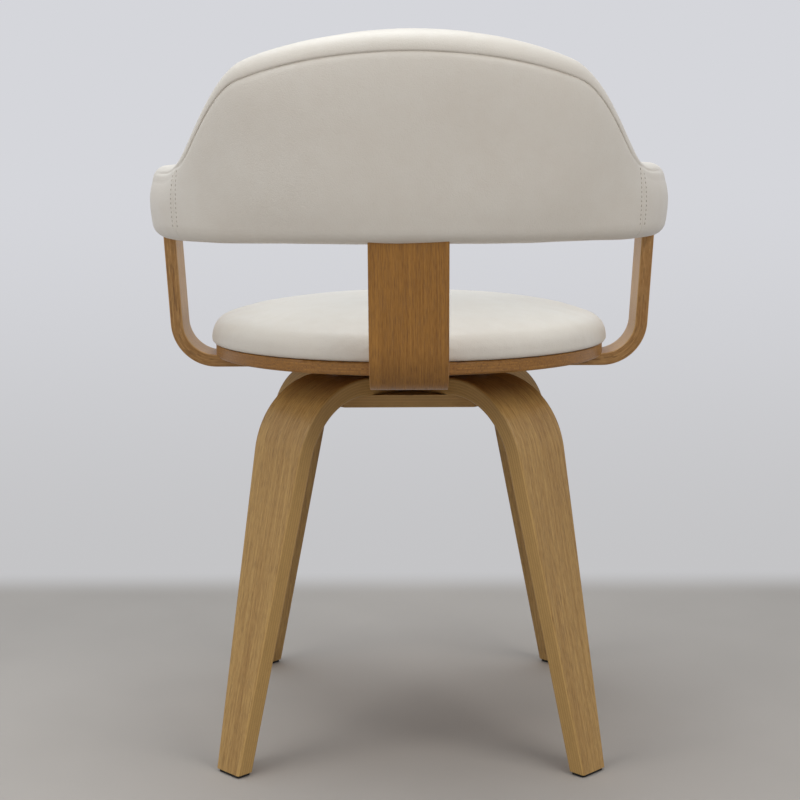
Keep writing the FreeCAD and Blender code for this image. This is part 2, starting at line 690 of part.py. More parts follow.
def make_seat_board():
    """Round board, notched for the strips and bored for its tee nuts and the screws from below."""
    body = new_body("seat_board")
    outline = new_sketch(body, "XY_Plane", rise=seat_underside)
    draw_circle(outline, (ZERO, ZERO), seat_board_radius)
    offset = size["bolt_spacing"] / 2
    for x in (offset, -offset):
        for y in (offset, -offset):
            draw_circle(outline, (x, y), size["tee_barrel_radius"])
    pad(body, outline, size["seat_board_thickness"])
    round_edges(body, size["seat_edge_round"], lambda edge, _: edge.Length > seat_board_radius.value)
    notches = new_sketch(body, "XY_Plane")
    near, far = strip_bend_start - size["hole_clearance"], seat_board_radius + size["overrun"]
    arm_half = size["arm_width"] / 2 + size["hole_clearance"]
    rear_half = size["rear_width"] / 2 + size["hole_clearance"]
    draw_box(notches, near, -arm_half, far, arm_half)
    draw_box(notches, -far, -arm_half, -near, arm_half)
    draw_box(notches, -rear_half, near, rear_half, far)
    cut_through(body, notches)
    counterbore = new_sketch(body, "XZ_Plane", shift=offset, rise=offset)
    draw_box(counterbore, ZERO, seat_top - size["tee_flange_thickness"], size["tee_flange_radius"],
             seat_top + size["overrun"])
    pad_hole = new_sketch(body, "XZ_Plane", shift=pad_screw_offset, rise=pad_screw_offset)
    draw_screw(pad_hole, seat_underside, seat_top, size["thread_clearance"])
    corner_cuts = [turned(body, counterbore, cutting=True), turned(body, pad_hole, cutting=True)]
    ring_of(body, corner_cuts, 4)
    strip_cuts = []
    for place in strip_screw_places:
        hole = new_sketch(body, "XZ_Plane", shift=place[0], rise=place[1])
        draw_box(hole, ZERO, seat_underside, size["wood_screw_radius"] + size["thread_clearance"],
                 seat_top - size["wood_left"])
        strip_cuts.append(turned(body, hole, cutting=True))
    ring_of(body, strip_cuts, 3, sweep=HALF_TURN)


def draw_screw(sketch, entry, tip, gap=ZERO):
    """Half outline of a countersunk screw whose flat head is flush with the face it enters."""
    head = size["wood_screw_head"] + gap
    shank = size["wood_screw_radius"] + gap
    draw_outline(sketch, (ZERO, entry), ((head, entry),), ((shank, entry + head - shank),),
                 ((shank, tip),), ((ZERO, tip),), ((ZERO, entry),))


def make_screws():
    """Screws up through the strips into the seat board, and through it into the pad board."""
    strip_screws = new_body("strip_screws")
    screws = []
    for place in strip_screw_places:
        outline = new_sketch(strip_screws, "XZ_Plane", shift=place[0], rise=place[1])
        draw_screw(outline, strip_underside, seat_top - size["wood_left"])
        screws.append(turned(strip_screws, outline))
    ring_of(strip_screws, screws, 3, sweep=HALF_TURN)
    pad_screws = new_body("pad_screws")
    outline = new_sketch(pad_screws, "XZ_Plane", shift=pad_screw_offset, rise=pad_screw_offset)
    draw_screw(outline, seat_underside, pad_board_top - size["wood_left"])
    ring_of(pad_screws, turned(pad_screws, outline), 4)


def make_plate_fasteners():
    """Bolts up through the upper plate into tee nuts pressed flush into the seat board."""
    head_seat = seat_underside - size["plate_thickness"]
    turned_fastener(
        "upper_plate_bolts",
        ((ZERO, head_seat - size["plate_head_height"]),
         ((size["plate_head_radius"], head_seat - size["plate_head_height"]),),
         ((size["plate_head_radius"], head_seat),), ((size["plate_bolt_radius"], head_seat),),
         ((size["plate_bolt_radius"], seat_top - size["tee_flange_thickness"]),),
         ((ZERO, seat_top - size["tee_flange_thickness"]),),
         ((ZERO, head_seat - size["plate_head_height"]),)),
        bolt_circle, 4, DIAGONAL)
    bore = size["plate_bolt_radius"] + size["thread_clearance"]
    flange_low = seat_top - size["tee_flange_thickness"]
    barrel_low = flange_low - size["tee_barrel_length"]
    turned_fastener(
        "seat_tee_nuts",
        ((bore, barrel_low), ((size["tee_barrel_radius"], barrel_low),),
         ((size["tee_barrel_radius"], flange_low),), ((size["tee_flange_radius"], flange_low),),
         ((size["tee_flange_radius"], seat_top),), ((bore, seat_top),), ((bore, barrel_low),)),
        bolt_circle, 4, DIAGONAL)


def cushion_curve(inset):
    """Places on the cushion's outline, a steady inset inside its outer form."""
    radius = cushion_radius - inset
    shoulder = size["shoulder_bend"] - inset
    crown = crown_bend - inset
    tuck = size["tuck_bend"] - inset
    low = seat_top + inset
    top = seat_top + size["cushion_height"] - inset
    share = crown / (crown - shoulder)
    meet = (shoulder_centre * share, top - crown + (shoulder_height - top + crown) * share)
    return radius, shoulder, crown, tuck, low, top, meet


def rising_moves(inset):
    """From the tucked edge up and over the crown to the axis."""
    radius, shoulder, crown, tuck, low, top, meet = cushion_curve(inset)
    return (((radius, low + tuck), tuck, True), ((radius, shoulder_height),), (meet, shoulder, True),
            ((ZERO, top), crown, True))


def make_cushion():
    """Pad board, the foam round it and the cover round both."""
    board = new_body("pad_board")
    outline = new_sketch(board, "XY_Plane", rise=seat_top + size["cover_thickness"])
    draw_circle(outline, (ZERO, ZERO), pad_board_radius)
    pad(board, outline, size["pad_board_thickness"])
    hole = new_sketch(board, "XZ_Plane", shift=pad_screw_offset, rise=pad_screw_offset)
    draw_box(hole, ZERO, seat_top, size["wood_screw_radius"] + size["thread_clearance"],
             pad_board_top - size["wood_left"])
    ring_of(board, turned(board, hole, cutting=True), 4)

    skin = size["cover_thickness"]
    radius, _, _, tuck, low, _, _ = cushion_curve(skin)
    board_top = low + size["pad_board_thickness"]
    foam = new_body("seat_foam")
    outline = new_sketch(foam, "XZ_Plane")
    draw_outline(outline, (ZERO, board_top), ((pad_board_radius, board_top),),
                 ((pad_board_radius, low),), ((radius - tuck, low),), *rising_moves(skin),
                 ((ZERO, board_top),))
    turned(foam, outline)

    cover = new_body("seat_cover")
    outline = new_sketch(cover, "XZ_Plane")
    outer_radius, _, _, outer_tuck, outer_low, _, _ = cushion_curve(ZERO)
    draw_outline(outline, (ZERO, outer_low), ((outer_radius - outer_tuck, outer_low),),
                 *rising_moves(ZERO), ((ZERO, outer_low),))
    turned(cover, outline)
    inside = new_sketch(cover, "XZ_Plane")
    below = outer_low - size["overrun"]
    opening = pad_board_radius - size["cover_return"]
    draw_outline(inside, (ZERO, below), ((opening, below),), ((opening, low),), ((radius - tuck, low),),
                 *rising_moves(skin), ((ZERO, below),))
    turned(cover, inside, cutting=True)


# The three bent strips

def draw_bolt_hole(sketch, foot_x, foot_z, rise, up_x, up_z):
    """Half section of a bolt hole square to the leaning face, and its centre line."""
    radius = size["tee_barrel_radius"]
    near, far = -size["overrun"], size["strip_thickness"] + size["overrun"]

    def place(depth, along):
        return foot_x + along * up_x - depth * up_z, foot_z + along * up_z + depth * up_x

    corners = [place(near, rise), place(far, rise), place(far, rise + radius), place(near, rise + radius)]
    draw_outline(sketch, corners[0], *[(corner,) for corner in corners[1:] + corners[:1]])


def cut_along(body, sketch):
    """Turn a sketch round its own first edge and cut."""
    doc.recompute()
    before = body.Shape.Volume
    feature = body.newObject("PartDesign::Groove", body.Name + "_bore")
    feature.Profile = (sketch, "")
    feature.ReferenceAxis = (sketch, ["Edge1"])
    feature.Angle = FULL_TURN
    doc.recompute()
    assert body.Shape.Volume < before, f"{feature.Name} cuts nothing"


def make_strip(label, width, reach, depth, lean, top, turn, bolt_rises):
    """A strip that runs out under the seat board, bends up and leans to the back.

    Its outer face lies a depth inside the back's outer face, which the bottom edge meets at reach.
    """
    body = new_body(label)
    side_view = new_sketch(body, "XZ_Plane")
    bottom_x = reach - depth / cosine(lean)
    bottom_z = size["back_bottom"]
    slip = depth * tangent(lean)
    start = bottom_x - strip_out(lean)
    outer = size["strip_bend"]
    inner = outer - size["strip_thickness"]
    low = strip_underside
    up_x = sine(lean)
    up_z = cosine(lean)
    top_out = (bottom_x + (top + slip) * up_x, bottom_z + (top + slip) * up_z)
    top_in = (top_out[0] - size["strip_thickness"] * up_z, top_out[1] + size["strip_thickness"] * up_x)
    bend_out = (start + outer * up_z, low + outer - outer * up_x)
    bend_in = (start + inner * up_z, low + outer - inner * up_x)
    draw_outline(
        side_view, (strip_start, low), ((start, low),), (bend_out, outer, True), (top_out,), (top_in,),
        (bend_in,), ((start, seat_underside), inner, False), ((strip_start, seat_underside),),
        ((strip_start, low),))
    pad(body, side_view, width, both_ways=True)
    round_edges(body, size["strip_edge_round"], is_long_edge)
    for place in strip_screw_places:
        hole = new_sketch(body, "XZ_Plane", shift=place[0], rise=place[1])
        draw_screw(hole, low, seat_underside, size["thread_clearance"])
        turned(body, hole, cutting=True)
    for rise in bolt_rises:
        hole = new_sketch(body, "XZ_Plane")
        draw_bolt_hole(hole, bottom_x, bottom_z, rise + slip, up_x, up_z)
        cut_along(body, hole)
    turn_about_axis(body, turn)
    return body


# The padded back: a curved form whose sections follow a half ellipse and then run straight forward

def smooth_step(share):
    share = min(max(share, 0.0), 1.0)
    return share * share * (3 - 2 * share)


def back_rise(turn):
    """Height of the top edge above the bottom edge at a turn from the rear."""
    fall = (mm("fall_end") - abs(turn)) / (mm("fall_end") - mm("fall_start"))
    crown = 1 - mm("crown_share") * (turn / DIAGONAL) ** 2
    return mm("wing_height") + (mm("crest_height") - mm("wing_height")) * crown * smooth_step(fall)


def back_round(turn):
    """Rounding of the top edge, generous at the crest and tighter at the wings."""
    share = smooth_step((mm("round_end") - abs(turn)) / mm("round_end"))
    return mm("wing_round") + (mm("crest_round") - mm("wing_round")) * share


def back_lean(level):
    """The back leans by rear_lean behind the sitter and eases to arm_lean at the wings."""
    side, rear = math.tan(math.radians(mm("arm_lean"))), math.tan(math.radians(mm("rear_lean")))
    return math.atan(side + (rear - side) * max(level.y, 0))


def back_frame(turn):
    """Place on the bottom edge of the outer face, the way up along it and the way out of it."""
    angle = math.radians(turn)
    place = Vector(mm("back_half_width") * math.sin(angle),
                   mm("back_centre") + back_reach.value * math.cos(angle), mm("back_bottom"))
    level = Vector(back_reach.value * math.sin(angle), mm("back_half_width") * math.cos(angle), 0)
    level.normalize()
    lean = back_lean(level)
    up = level * math.sin(lean) + UPRIGHT * math.cos(lean)
    out = level * math.cos(lean) - UPRIGHT * math.sin(lean)
    return place, up, out


def on_back(turn, depth, rise):
    """The point a depth inside the outer face and a rise up it."""
    place, up, out = back_frame(turn)
    return place + up * rise - out * depth


def slope_rise(turn):
    """The top edge's rise measured along the leaning face."""
    return back_rise(turn) / back_frame(turn)[1].z


def corner_arc(point, centre, start, end):
    """Quarter round between two places, each given by its depth and rise."""
    sx, sy = start[0] - centre[0], start[1] - centre[1]
    ex, ey = end[0] - centre[0], end[1] - centre[1]
    radius = math.hypot(sx, sy)
    mx, my = sx + ex, sy + ey
    share = radius / math.hypot(mx, my)
    way = point(centre[0] + mx * share, centre[1] + my * share)
    return Part.Arc(point(*start), way, point(*end)).toShape()


def padded_wire(turn, inset):
    """Section of the padded form: a slab with rounded edges, a steady inset inside the outside."""
    low, high = inset, slope_rise(turn) - inset
    near, far = inset, mm("back_thickness") - inset
    bottom, top = mm("bottom_round") - inset, back_round(turn) - inset

    def point(depth, rise):
        return on_back(turn, depth, rise)

    def line(a, b):
        return Part.LineSegment(point(*a), point(*b)).toShape()

    a, b = (near + bottom, low), (far - bottom, low)
    c, d = (far, low + bottom), (far, high - top)
    e, f = (far - top, high), (near + top, high)
    g, k = (near, high - top), (near, low + bottom)
    return Part.Wire([
        line(a, b), corner_arc(point, (b[0], c[1]), b, c),
        line(c, d), corner_arc(point, (e[0], d[1]), d, e),
        line(e, f), corner_arc(point, (f[0], g[1]), f, g),
        line(g, k), corner_arc(point, (a[0], k[1]), k, a)])


def slab_wire(turn, near, far, foot, drop):
    """Section of a plain slab between two depths, from foot up to drop below the top edge."""
    high = slope_rise(turn) - drop
    corners = [on_back(turn, depth, rise)
               for depth, rise in ((near, foot), (far, foot), (far, high), (near, high))]
    return Part.makePolygon(corners + corners[:1])


def stations(end_turn):
    step = 2 * end_turn / (BACK_STATIONS - 1)
    return [-end_turn + step * index for index in range(BACK_STATIONS)]


def swept_form(section, forward, end_turn=RIGHT_ANGLE):
    """Loft a section round the back and run its two ends straight forward."""
    wires = [section(turn) for turn in stations(end_turn)]
    form = Part.makeLoft(wires, True, False)
    if forward:
        ends = [Part.Face(wire).extrude(Vector(0, -forward, 0)) for wire in (wires[0], wires[-1])]
        form = form.fuse(ends)
    return form


def wing_end(side, inset):
    """Half round end of a wing: half of its section turned about the wing's middle."""
    turn = RIGHT_ANGLE * side
    low, high = inset, slope_rise(turn) - inset
    bottom, top = mm("bottom_round") - inset, back_round(turn) - inset
    near, centre = inset, mm("back_thickness") / 2
    shift = Vector(0, -mm("wing_straight"), 0)

    def point(depth, rise):
        return on_back(turn, depth, rise) + shift

    def line(a, b):
        return Part.LineSegment(point(*a), point(*b)).toShape()

    a, b = (centre, low), (centre, high)
    f, g, k, m = (near + top, high), (near, high - top), (near, low + bottom), (near + bottom, low)
    half = Part.Face(Part.Wire([
        line(a, b), line(b, f), corner_arc(point, (f[0], g[1]), f, g), line(g, k),
        corner_arc(point, (m[0], k[1]), k, m), line(m, a)]))
    axis = point(*b) - point(*a)
    return half.revolve(point(*a), axis, -HALF_TURN * side)


def padded_form(inset):
    """The whole padded outside of the back, or a form a steady inset inside it."""
    form = swept_form(lambda turn: padded_wire(turn, inset), mm("wing_straight"))
    form = form.fuse([wing_end(side, inset) for side in (1, -1)])
    return form.removeSplitter()


def one_solid(shape):
    solids = shape.Solids
    assert len(solids) == 1, f"{len(solids)} solids where one is meant"
    return solids[0]


def back_bolt_places():
    """Where the bolts go: the side and the place of each on the outer face of its strip."""
    places = []
    for turn in (RIGHT_ANGLE, -RIGHT_ANGLE):
        for rise in arm_bolt_rises:
            _, _, out = back_frame(turn)
            centre = Vector(0, -mm("back_centre"), 0)
            places.append((on_back(turn, mm("strip_cover"), rise.value) + centre, out, 0.0))
    for rise in rear_bolt_rises:
        _, _, out = back_frame(0)
        places.append((on_back(0, rear_depth.value, rise.value), out, mm("rear_let_in")))
    return places


def make_back_fasteners():
    """Bolts in through the strips and the core, and tee nuts on the core's inner face."""
    bolts, nuts = [], []
    for place, out, let_in in back_bolt_places():
        grip = mm("strip_thickness") + mm("core_thickness") - let_in
        flange = mm("tee_flange_thickness")
        head = Part.makeCylinder(mm("plate_head_radius"), mm("plate_head_height"), place, out)
        shank = Part.makeCylinder(mm("plate_bolt_radius"), grip - flange, place, -out)
        bolts.append(one_solid(head.fuse(shank).removeSplitter()))
        inner_face = place - out * grip
        barrel_length = mm("core_thickness") - let_in - flange
        barrel = Part.makeCylinder(mm("tee_barrel_radius"), barrel_length + flange, inner_face, out)
        plate = Part.makeCylinder(mm("tee_flange_radius"), flange, inner_face, out)
        bore = Part.makeCylinder(mm("plate_bolt_radius") + mm("thread_clearance"), grip, inner_face, out)
        nuts.append(one_solid(barrel.fuse(plate).removeSplitter().cut(bore)))
    return bolts, nuts


def fastener_room():
    """Plain rods and discs that the wood and foam give way to."""
    room = []
    for place, out, let_in in back_bolt_places():
        grip = mm("strip_thickness") + mm("core_thickness") - let_in
        room.append(Part.makeCylinder(mm("plate_head_radius"), mm("plate_head_height"), place, out))
        room.append(Part.makeCylinder(mm("tee_barrel_radius"), grip, place, -out))
        inner_face = place - out * grip
        room.append(Part.makeCylinder(
            mm("tee_flange_radius"), mm("tee_flange_thickness"), inner_face, out))
    return room


def make_back(strips):
    """Core, foam and cover of the back, with channels for the strips."""
    outer = padded_form(0.0)
    inner = padded_form(mm("cover_thickness"))
    core_near = mm("strip_cover") + mm("strip_thickness")
    core_far = core_near + mm("core_thickness")
    foot, drop = mm("core_foot"), mm("core_drop")
    forward = mm("wing_straight") - mm("core_short")
    core = swept_form(lambda turn: slab_wire(turn, core_near, core_far, foot, drop), forward)
    core = one_solid(core.removeSplitter().cut(strips + fastener_room()))
    before = -mm("overrun")
    rear_zone = swept_form(lambda turn: slab_wire(turn, before, core_near, foot, drop), forward)
    gap = mm("core_gap")
    bed = core_far + mm("core_bed")
    taken = swept_form(lambda turn: slab_wire(turn, before, bed, foot - gap, drop - gap), forward + gap)
    room = strips + fastener_room()
    rear_padding = one_solid(inner.common(rear_zone.removeSplitter()).cut(room))
    front_padding = one_solid(inner.cut(taken.removeSplitter()).cut(room))
    panel_zone = swept_form(
        lambda turn: slab_wire(turn, before, mm("overrun") / 2, mm("bottom_round"), back_round(turn)),
        0, mm("seam_turn"))
    skin = outer.cut(inner).cut(strips)
    rear_cover = one_solid(skin.common(panel_zone))
    front_cover = one_solid(skin.cut(panel_zone))
    return {"back_board": core, "back_rear_padding": rear_padding, "back_front_padding": front_padding,
            "back_rear_cover": rear_cover, "back_front_cover": front_cover}


# Build everything

make_arch("leg_arch_lower", DIAGONAL, lap_height, size["arch_height"] + size["overrun"])
make_arch("leg_arch_upper", -DIAGONAL, arch_underside - size["overrun"], lap_height)
make_clamp_plate()
for quarter, corner in enumerate(("rear_left", "rear_right", "front_right", "front_left")):
    make_foot_pad("foot_pad_" + corner, DIAGONAL + RIGHT_ANGLE * quarter)
make_base_fasteners()
make_swivel_lower_plate()
make_swivel_upper_plate()
make_swivel_centre_pin()
make_balls_and_cage()
make_seat_board()
make_plate_fasteners()
make_cushion()
strips = [make_strip("arm_strip_" + side, size["arm_width"], size["back_half_width"], size["strip_cover"],
                     size["arm_lean"], arm_top, turn, arm_bolt_rises)
          for side, turn in (("left", 0), ("right", HALF_TURN))]
strips.append(make_strip("rear_strip", size["rear_width"], rear_reach, rear_depth, size["rear_lean"],
                         rear_top, RIGHT_ANGLE, rear_bolt_rises))
make_screws()
doc.recompute()
for label, shape in make_back([strip.Shape for strip in strips]).items():
    set_shape(label, shape)
back_bolts, back_nuts = make_back_fasteners()
set_shape("back_bolts", Part.makeCompound(back_bolts))
set_shape("back_tee_nuts", Part.makeCompound(back_nuts))
doc.recompute()

for item in doc.Objects:
    faults = [word for word in item.State if word in ("Invalid", "Error")]
    assert not faults, f"{item.Label}: {faults}"
pieces = [item for item in doc.Objects if item.TypeId in ("PartDesign::Body", "Part::Feature")]
os.makedirs("parts", exist_ok=True)
for piece in pieces:
    assert not piece.Shape.isNull() and piece.Shape.isValid(), f"{piece.Label} has no sound shape"
    piece.Shape.exportStep(f"parts/{piece.Label}.step")
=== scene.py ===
"""Looks of the swivel chair: bent oak strips, cream padding with its seams, steel parts and a pale studio.

Everything is in metres. +Z is up, the sitter faces -Y, and the swivel axis is the Z axis.
"""

from __future__ import annotations

import json
import logging
import math
from dataclasses import dataclass, field
from enum import Enum
from typing import Optional, Sequence, Union

import bmesh
import bpy
import numpy as np
from mathutils import Matrix, Vector

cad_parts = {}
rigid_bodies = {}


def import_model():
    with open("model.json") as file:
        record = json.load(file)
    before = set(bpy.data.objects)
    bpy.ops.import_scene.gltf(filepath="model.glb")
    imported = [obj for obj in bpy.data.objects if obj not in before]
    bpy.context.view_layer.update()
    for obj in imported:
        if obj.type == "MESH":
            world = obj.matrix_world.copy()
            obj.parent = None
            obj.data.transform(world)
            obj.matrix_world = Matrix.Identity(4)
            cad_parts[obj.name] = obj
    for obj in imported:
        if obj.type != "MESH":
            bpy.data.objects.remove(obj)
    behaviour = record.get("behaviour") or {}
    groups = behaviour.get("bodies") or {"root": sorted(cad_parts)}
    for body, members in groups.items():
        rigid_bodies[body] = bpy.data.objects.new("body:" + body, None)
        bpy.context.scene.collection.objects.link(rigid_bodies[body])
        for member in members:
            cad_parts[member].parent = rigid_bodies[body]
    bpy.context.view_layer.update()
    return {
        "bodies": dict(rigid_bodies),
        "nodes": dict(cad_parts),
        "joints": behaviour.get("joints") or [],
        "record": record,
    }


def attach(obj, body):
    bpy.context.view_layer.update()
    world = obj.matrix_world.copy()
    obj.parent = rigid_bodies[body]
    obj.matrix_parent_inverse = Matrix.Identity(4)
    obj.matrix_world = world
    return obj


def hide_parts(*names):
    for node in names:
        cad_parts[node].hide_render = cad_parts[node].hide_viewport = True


log = logging.getLogger("chair")

Colour = tuple[float, float, float]
MILLIMETRE = 0.001
# Distance under which vertices count as one
WELD = 0.001 * MILLIMETRE
# Thickness of the cover on the seat and the back
COVER = 1.2 * MILLIMETRE


def paint(red: int, green: int, blue: int) -> Colour:
    """Linear colour of a paint given in steps of 0 to 255.

    Args:
        red: Red step.
        green: Green step.
        blue: Blue step.

    Returns:
        The three linear shares.
    """
    steps = np.array((red, green, blue)) / 255
    linear = np.where(steps <= 0.04045, steps / 12.92, ((steps + 0.055) / 1.055) ** 2.4)
    return tuple(float(share) for share in linear)


class Side(Enum):
    """The two sides of the chair, as the sign of X."""

    LEFT = 1
    RIGHT = -1


class Lathe(Enum):
    """How a bent strip turns: arches bend down from their top, rising strips bend up."""

    DOWN = -1
    UP = 1


# Shader sums


class Field:
    """A number that varies over a surface: a socket on which sums add Math nodes."""

    def __init__(self, shader: "Shader", socket: bpy.types.NodeSocket) -> None:
        """Wrap a socket of the shader."""
        self.shader = shader
        self.socket = socket

    def math(self, operation: str, *others: "Number") -> "Field":
        """Add a Math node fed by this field and the others.

        Args:
            operation: The Math node's operation.
            others: The other operands.

        Returns:
            The node's result.
        """
        node = self.shader.node("ShaderNodeMath", {"operation": operation}, dict(enumerate((self, *others))))
        return Field(self.shader, node.outputs[0])

    def __add__(self, other: "Number") -> "Field":
        """Sum."""
        return self.math("ADD", other)

    def __radd__(self, other: "Number") -> "Field":
        """Sum, reflected."""
        return self.math("ADD", other)

    def __sub__(self, other: "Number") -> "Field":
        """Difference."""
        return self.math("SUBTRACT", other)

    def __rsub__(self, other: "Number") -> "Field":
        """Difference, reflected."""
        return self.math("MULTIPLY_ADD", -1.0, other)

    def __mul__(self, other: "Number") -> "Field":
        """Product."""
        return self.math("MULTIPLY", other)

    def __rmul__(self, other: "Number") -> "Field":
        """Product, reflected."""
        return self.math("MULTIPLY", other)

    def __truediv__(self, other: "Number") -> "Field":
        """Quotient."""
        return self.math("DIVIDE", other)

    def limited(self, low: float, high: float) -> "Field":
        """This field held between two values."""
        return self.math("MAXIMUM", low).math("MINIMUM", high)

    def step(self, low: float, high: float) -> "Field":
        """A soft step from 0 at low to 1 at high, which may be the lower value.

        Args:
            low: Where the step starts.
            high: Where the step ends.

        Returns:
            The stepped field.
        """
        node = self.shader.node(
            "ShaderNodeMapRange", {"interpolation_type": "SMOOTHSTEP"},
            {"Value": self, "From Min": low, "From Max": high, "To Min": 0.0, "To Max": 1.0})
        return Field(self.shader, node.outputs["Result"])


Number = Union[Field, float, int]
Place = tuple[Field, Field, Field]
Feed = Union[Field, bpy.types.NodeSocket, float, int, Sequence[float]]


class Shader:
    """One material, or the world, and the nodes that it is made of."""

    def __init__(self, name: str, library: Optional[bpy.types.bpy_prop_collection] = None) -> None:
        """Start an empty material, or an empty world where the library is that of the worlds."""
        self.owner = (bpy.data.materials if library is None else library).new(name)
        self.owner.use_nodes = True
        self.tree = self.owner.node_tree
        self.tree.nodes.clear()

    def node(self, kind: str, settings: Optional[dict] = None,
             feeds: Optional[dict[Union[str, int], Feed]] = None) -> bpy.types.Node:
        """Add a node, set it up and feed its sockets.

        Args:
            kind: The node's type.
            settings: Properties, set first.
            feeds: Values or links by the socket's name or number.

        Returns:
            The node.
        """
        node = self.tree.nodes.new(kind)
        for name, value in (settings or {}).items():
            setattr(node, name, value)
        for key, feed in (feeds or {}).items():
            socket = node.inputs[key]
            if isinstance(feed, Field):
                self.tree.links.new(feed.socket, socket)
            elif isinstance(feed, bpy.types.NodeSocket):
                self.tree.links.new(feed, socket)
            else:
                socket.default_value = feed
        return node

    def place(self) -> Place:
        """The three object coordinates, in metres."""
        texture = self.node("ShaderNodeTexCoord")
        split = self.node("ShaderNodeSeparateXYZ", {}, {0: texture.outputs["Object"]})
        return tuple(Field(self, split.outputs[axis]) for axis in range(3))

    def point(self, x: Number, y: Number, z: Number) -> bpy.types.NodeSocket:
        """A vector of three fields."""
        return self.node("ShaderNodeCombineXYZ", {}, {0: x, 1: y, 2: z}).outputs[0]

    def noise(self, x: Number, y: Number, z: Number, detail: float = 2.0, rough: float = 0.5) -> Field:
        """Smooth noise of about one feature per unit.

        Args:
            x: First coordinate.
            y: Second coordinate.
            z: Third coordinate.
            detail: Octaves.
            rough: Share that each octave keeps.

        Returns:
            The noise, around one half.
        """
        node = self.node("ShaderNodeTexNoise", {}, {
            "Vector": self.point(x, y, z), "Scale": 1.0, "Detail": detail, "Roughness": rough})
        return Field(self, node.outputs[0])

    def mottle(self, place: Place, fineness: float, detail: float = 2.0, rough: float = 0.5) -> Field:
        """Noise that is alike in all directions.

        Args:
            place: The three coordinates.
            fineness: Features in a metre.
            detail: Octaves.
            rough: Share that each octave keeps.

        Returns:
            The noise, around one half.
        """
        return self.noise(*(way * fineness for way in place), detail, rough)

    def cells(self, place: Place, size: float) -> Field:
        """Distance from the middle of the nearest grain cell, as a share of the cells' size."""
        spot = self.point(*(way / size for way in place))
        node = self.node("ShaderNodeTexVoronoi", {}, {"Vector": spot, "Scale": 1.0})
        return Field(self, node.outputs["Distance"])

    def seen(self) -> Field:
        """One where the camera, gloss or glass looks at the surface, and zero where plain light meets it."""
        path = self.node("ShaderNodeLightPath")
        camera, glossy, glass = (
            Field(self, path.outputs[ray]) for ray in ("Is Camera Ray", "Is Glossy Ray", "Is Transmission Ray"))
        return camera.math("MAXIMUM", glossy).math("MAXIMUM", glass)

    def mix(self, share: Number, first: Union[Colour, bpy.types.NodeSocket],
            second: Union[Colour, bpy.types.NodeSocket]) -> bpy.types.NodeSocket:
        """A colour that goes from the first at 0 to the second at 1.

        Args:
            share: Where between the two.
            first: Colour at 0.
            second: Colour at 1.

        Returns:
            The mixed colour.
        """
        opaque = [(*end, 1.0) if isinstance(end, tuple) else end for end in (first, second)]
        node = self.node("ShaderNodeMix", {"data_type": "RGBA"}, {0: share, 6: opaque[0], 7: opaque[1]})
        return node.outputs[2]

    def relief(self, height: Field) -> bpy.types.NodeSocket:
        """A normal bent by a height in metres."""
        return self.node("ShaderNodeBump", {}, {"Height": height, "Strength": 1.0, "Distance": 1.0}).outputs[0]

    def finish(self, colour: bpy.types.NodeSocket, rough: Number, normal: bpy.types.NodeSocket,
               **fixed: float) -> bpy.types.Material:
        """Close the material with its surface shader.

        Args:
            colour: Base colour.
            rough: Roughness.
            normal: Bent normal.
            fixed: Constants by the socket's name with low lines for blanks.

        Returns:
            The material.
        """
        named = {name.replace("_", " ").title().replace("Ior", "IOR"): value for name, value in fixed.items()}
        surface = self.node("ShaderNodeBsdfPrincipled", {}, {
            "Base Color": colour, "Roughness": rough, "Normal": normal, **named})
        self.node("ShaderNodeOutputMaterial", {}, {"Surface": surface.outputs[0]})
        return self.owner


# Where the grain runs


@dataclass(frozen=True)
class BentGrain:
    """Grain that follows a strip bent once, in the upright plane at an azimuth.

    Across the bend, the angle about its centre is held between the two straight runs, so depth under the
    outer face and distance along the strip are plain sums on the runs and on the bend alike.
    """

    azimuth: float
    start: float
    height: float
    radius: float
    first_angle: float
    last_angle: float
    lathe: Lathe
    folded: bool = False

    def fields(self, shader: Shader) -> Place:
        """Distances along the strip, across it and under its outer face.

        Args:
            shader: The material that reads them.

        Returns:
            Along, across and depth, in metres.
        """
        x, y, z = shader.place()
        reach = x * math.cos(self.azimuth) + y * math.sin(self.azimuth)
        across = y * math.cos(self.azimuth) - x * math.sin(self.azimuth)
        side = reach.math("SIGN")
        level = (reach.math("ABSOLUTE") if self.folded else reach) - self.start
        upright = z - self.height
        low, high = sorted((self.first_angle, self.last_angle))
        angle = upright.math("ARCTAN2", level).limited(low, high)
        cosine, sine = angle.math("COSINE"), angle.math("SINE")
        depth = self.radius - (level * cosine + upright * sine)
        turn = self.lathe.value
        along = (upright * cosine - level * sine) * turn + (angle - self.first_angle) * (turn * self.radius)
        along = along + self.start
        return (along * side if self.folded else along), across, depth


@dataclass(frozen=True)
class FlatGrain:
    """Grain of a flat board: along an azimuth, with depth counted up from its lower face."""

    azimuth: float
    underside: float

    def fields(self, shader: Shader) -> Place:
        """Distances along the grain, across it and above the lower face.

        Args:
            shader: The material that reads them.

        Returns:
            Along, across and depth, in metres.
        """
        x, y, z = shader.place()
        along = x * math.cos(self.azimuth) + y * math.sin(self.azimuth)
        across = y * math.cos(self.azimuth) - x * math.sin(self.azimuth)
        return along, across, z - self.underside


Grain = Union[BentGrain, FlatGrain]


# Finishes


@dataclass(frozen=True)
class Figure:
    """A layer of the wood's figure: features in a metre along and across the grain, shift, octaves and weight."""

    along: float
    across: float
    shift: float
    detail: float
    weight: float

    def over(self, shader: Shader, along: Field, across: Field, shift: Field) -> Field:
        """Noise drawn out along the grain.

        Args:
            shader: The material that reads it.
            along: Distance along the grain.
            across: Distance across it.
            shift: What sets this ply's figure apart from the others'.

        Returns:
            The noise, around one half.
        """
        return shader.noise(along * self.along, across * self.across, shift + self.shift, self.detail)


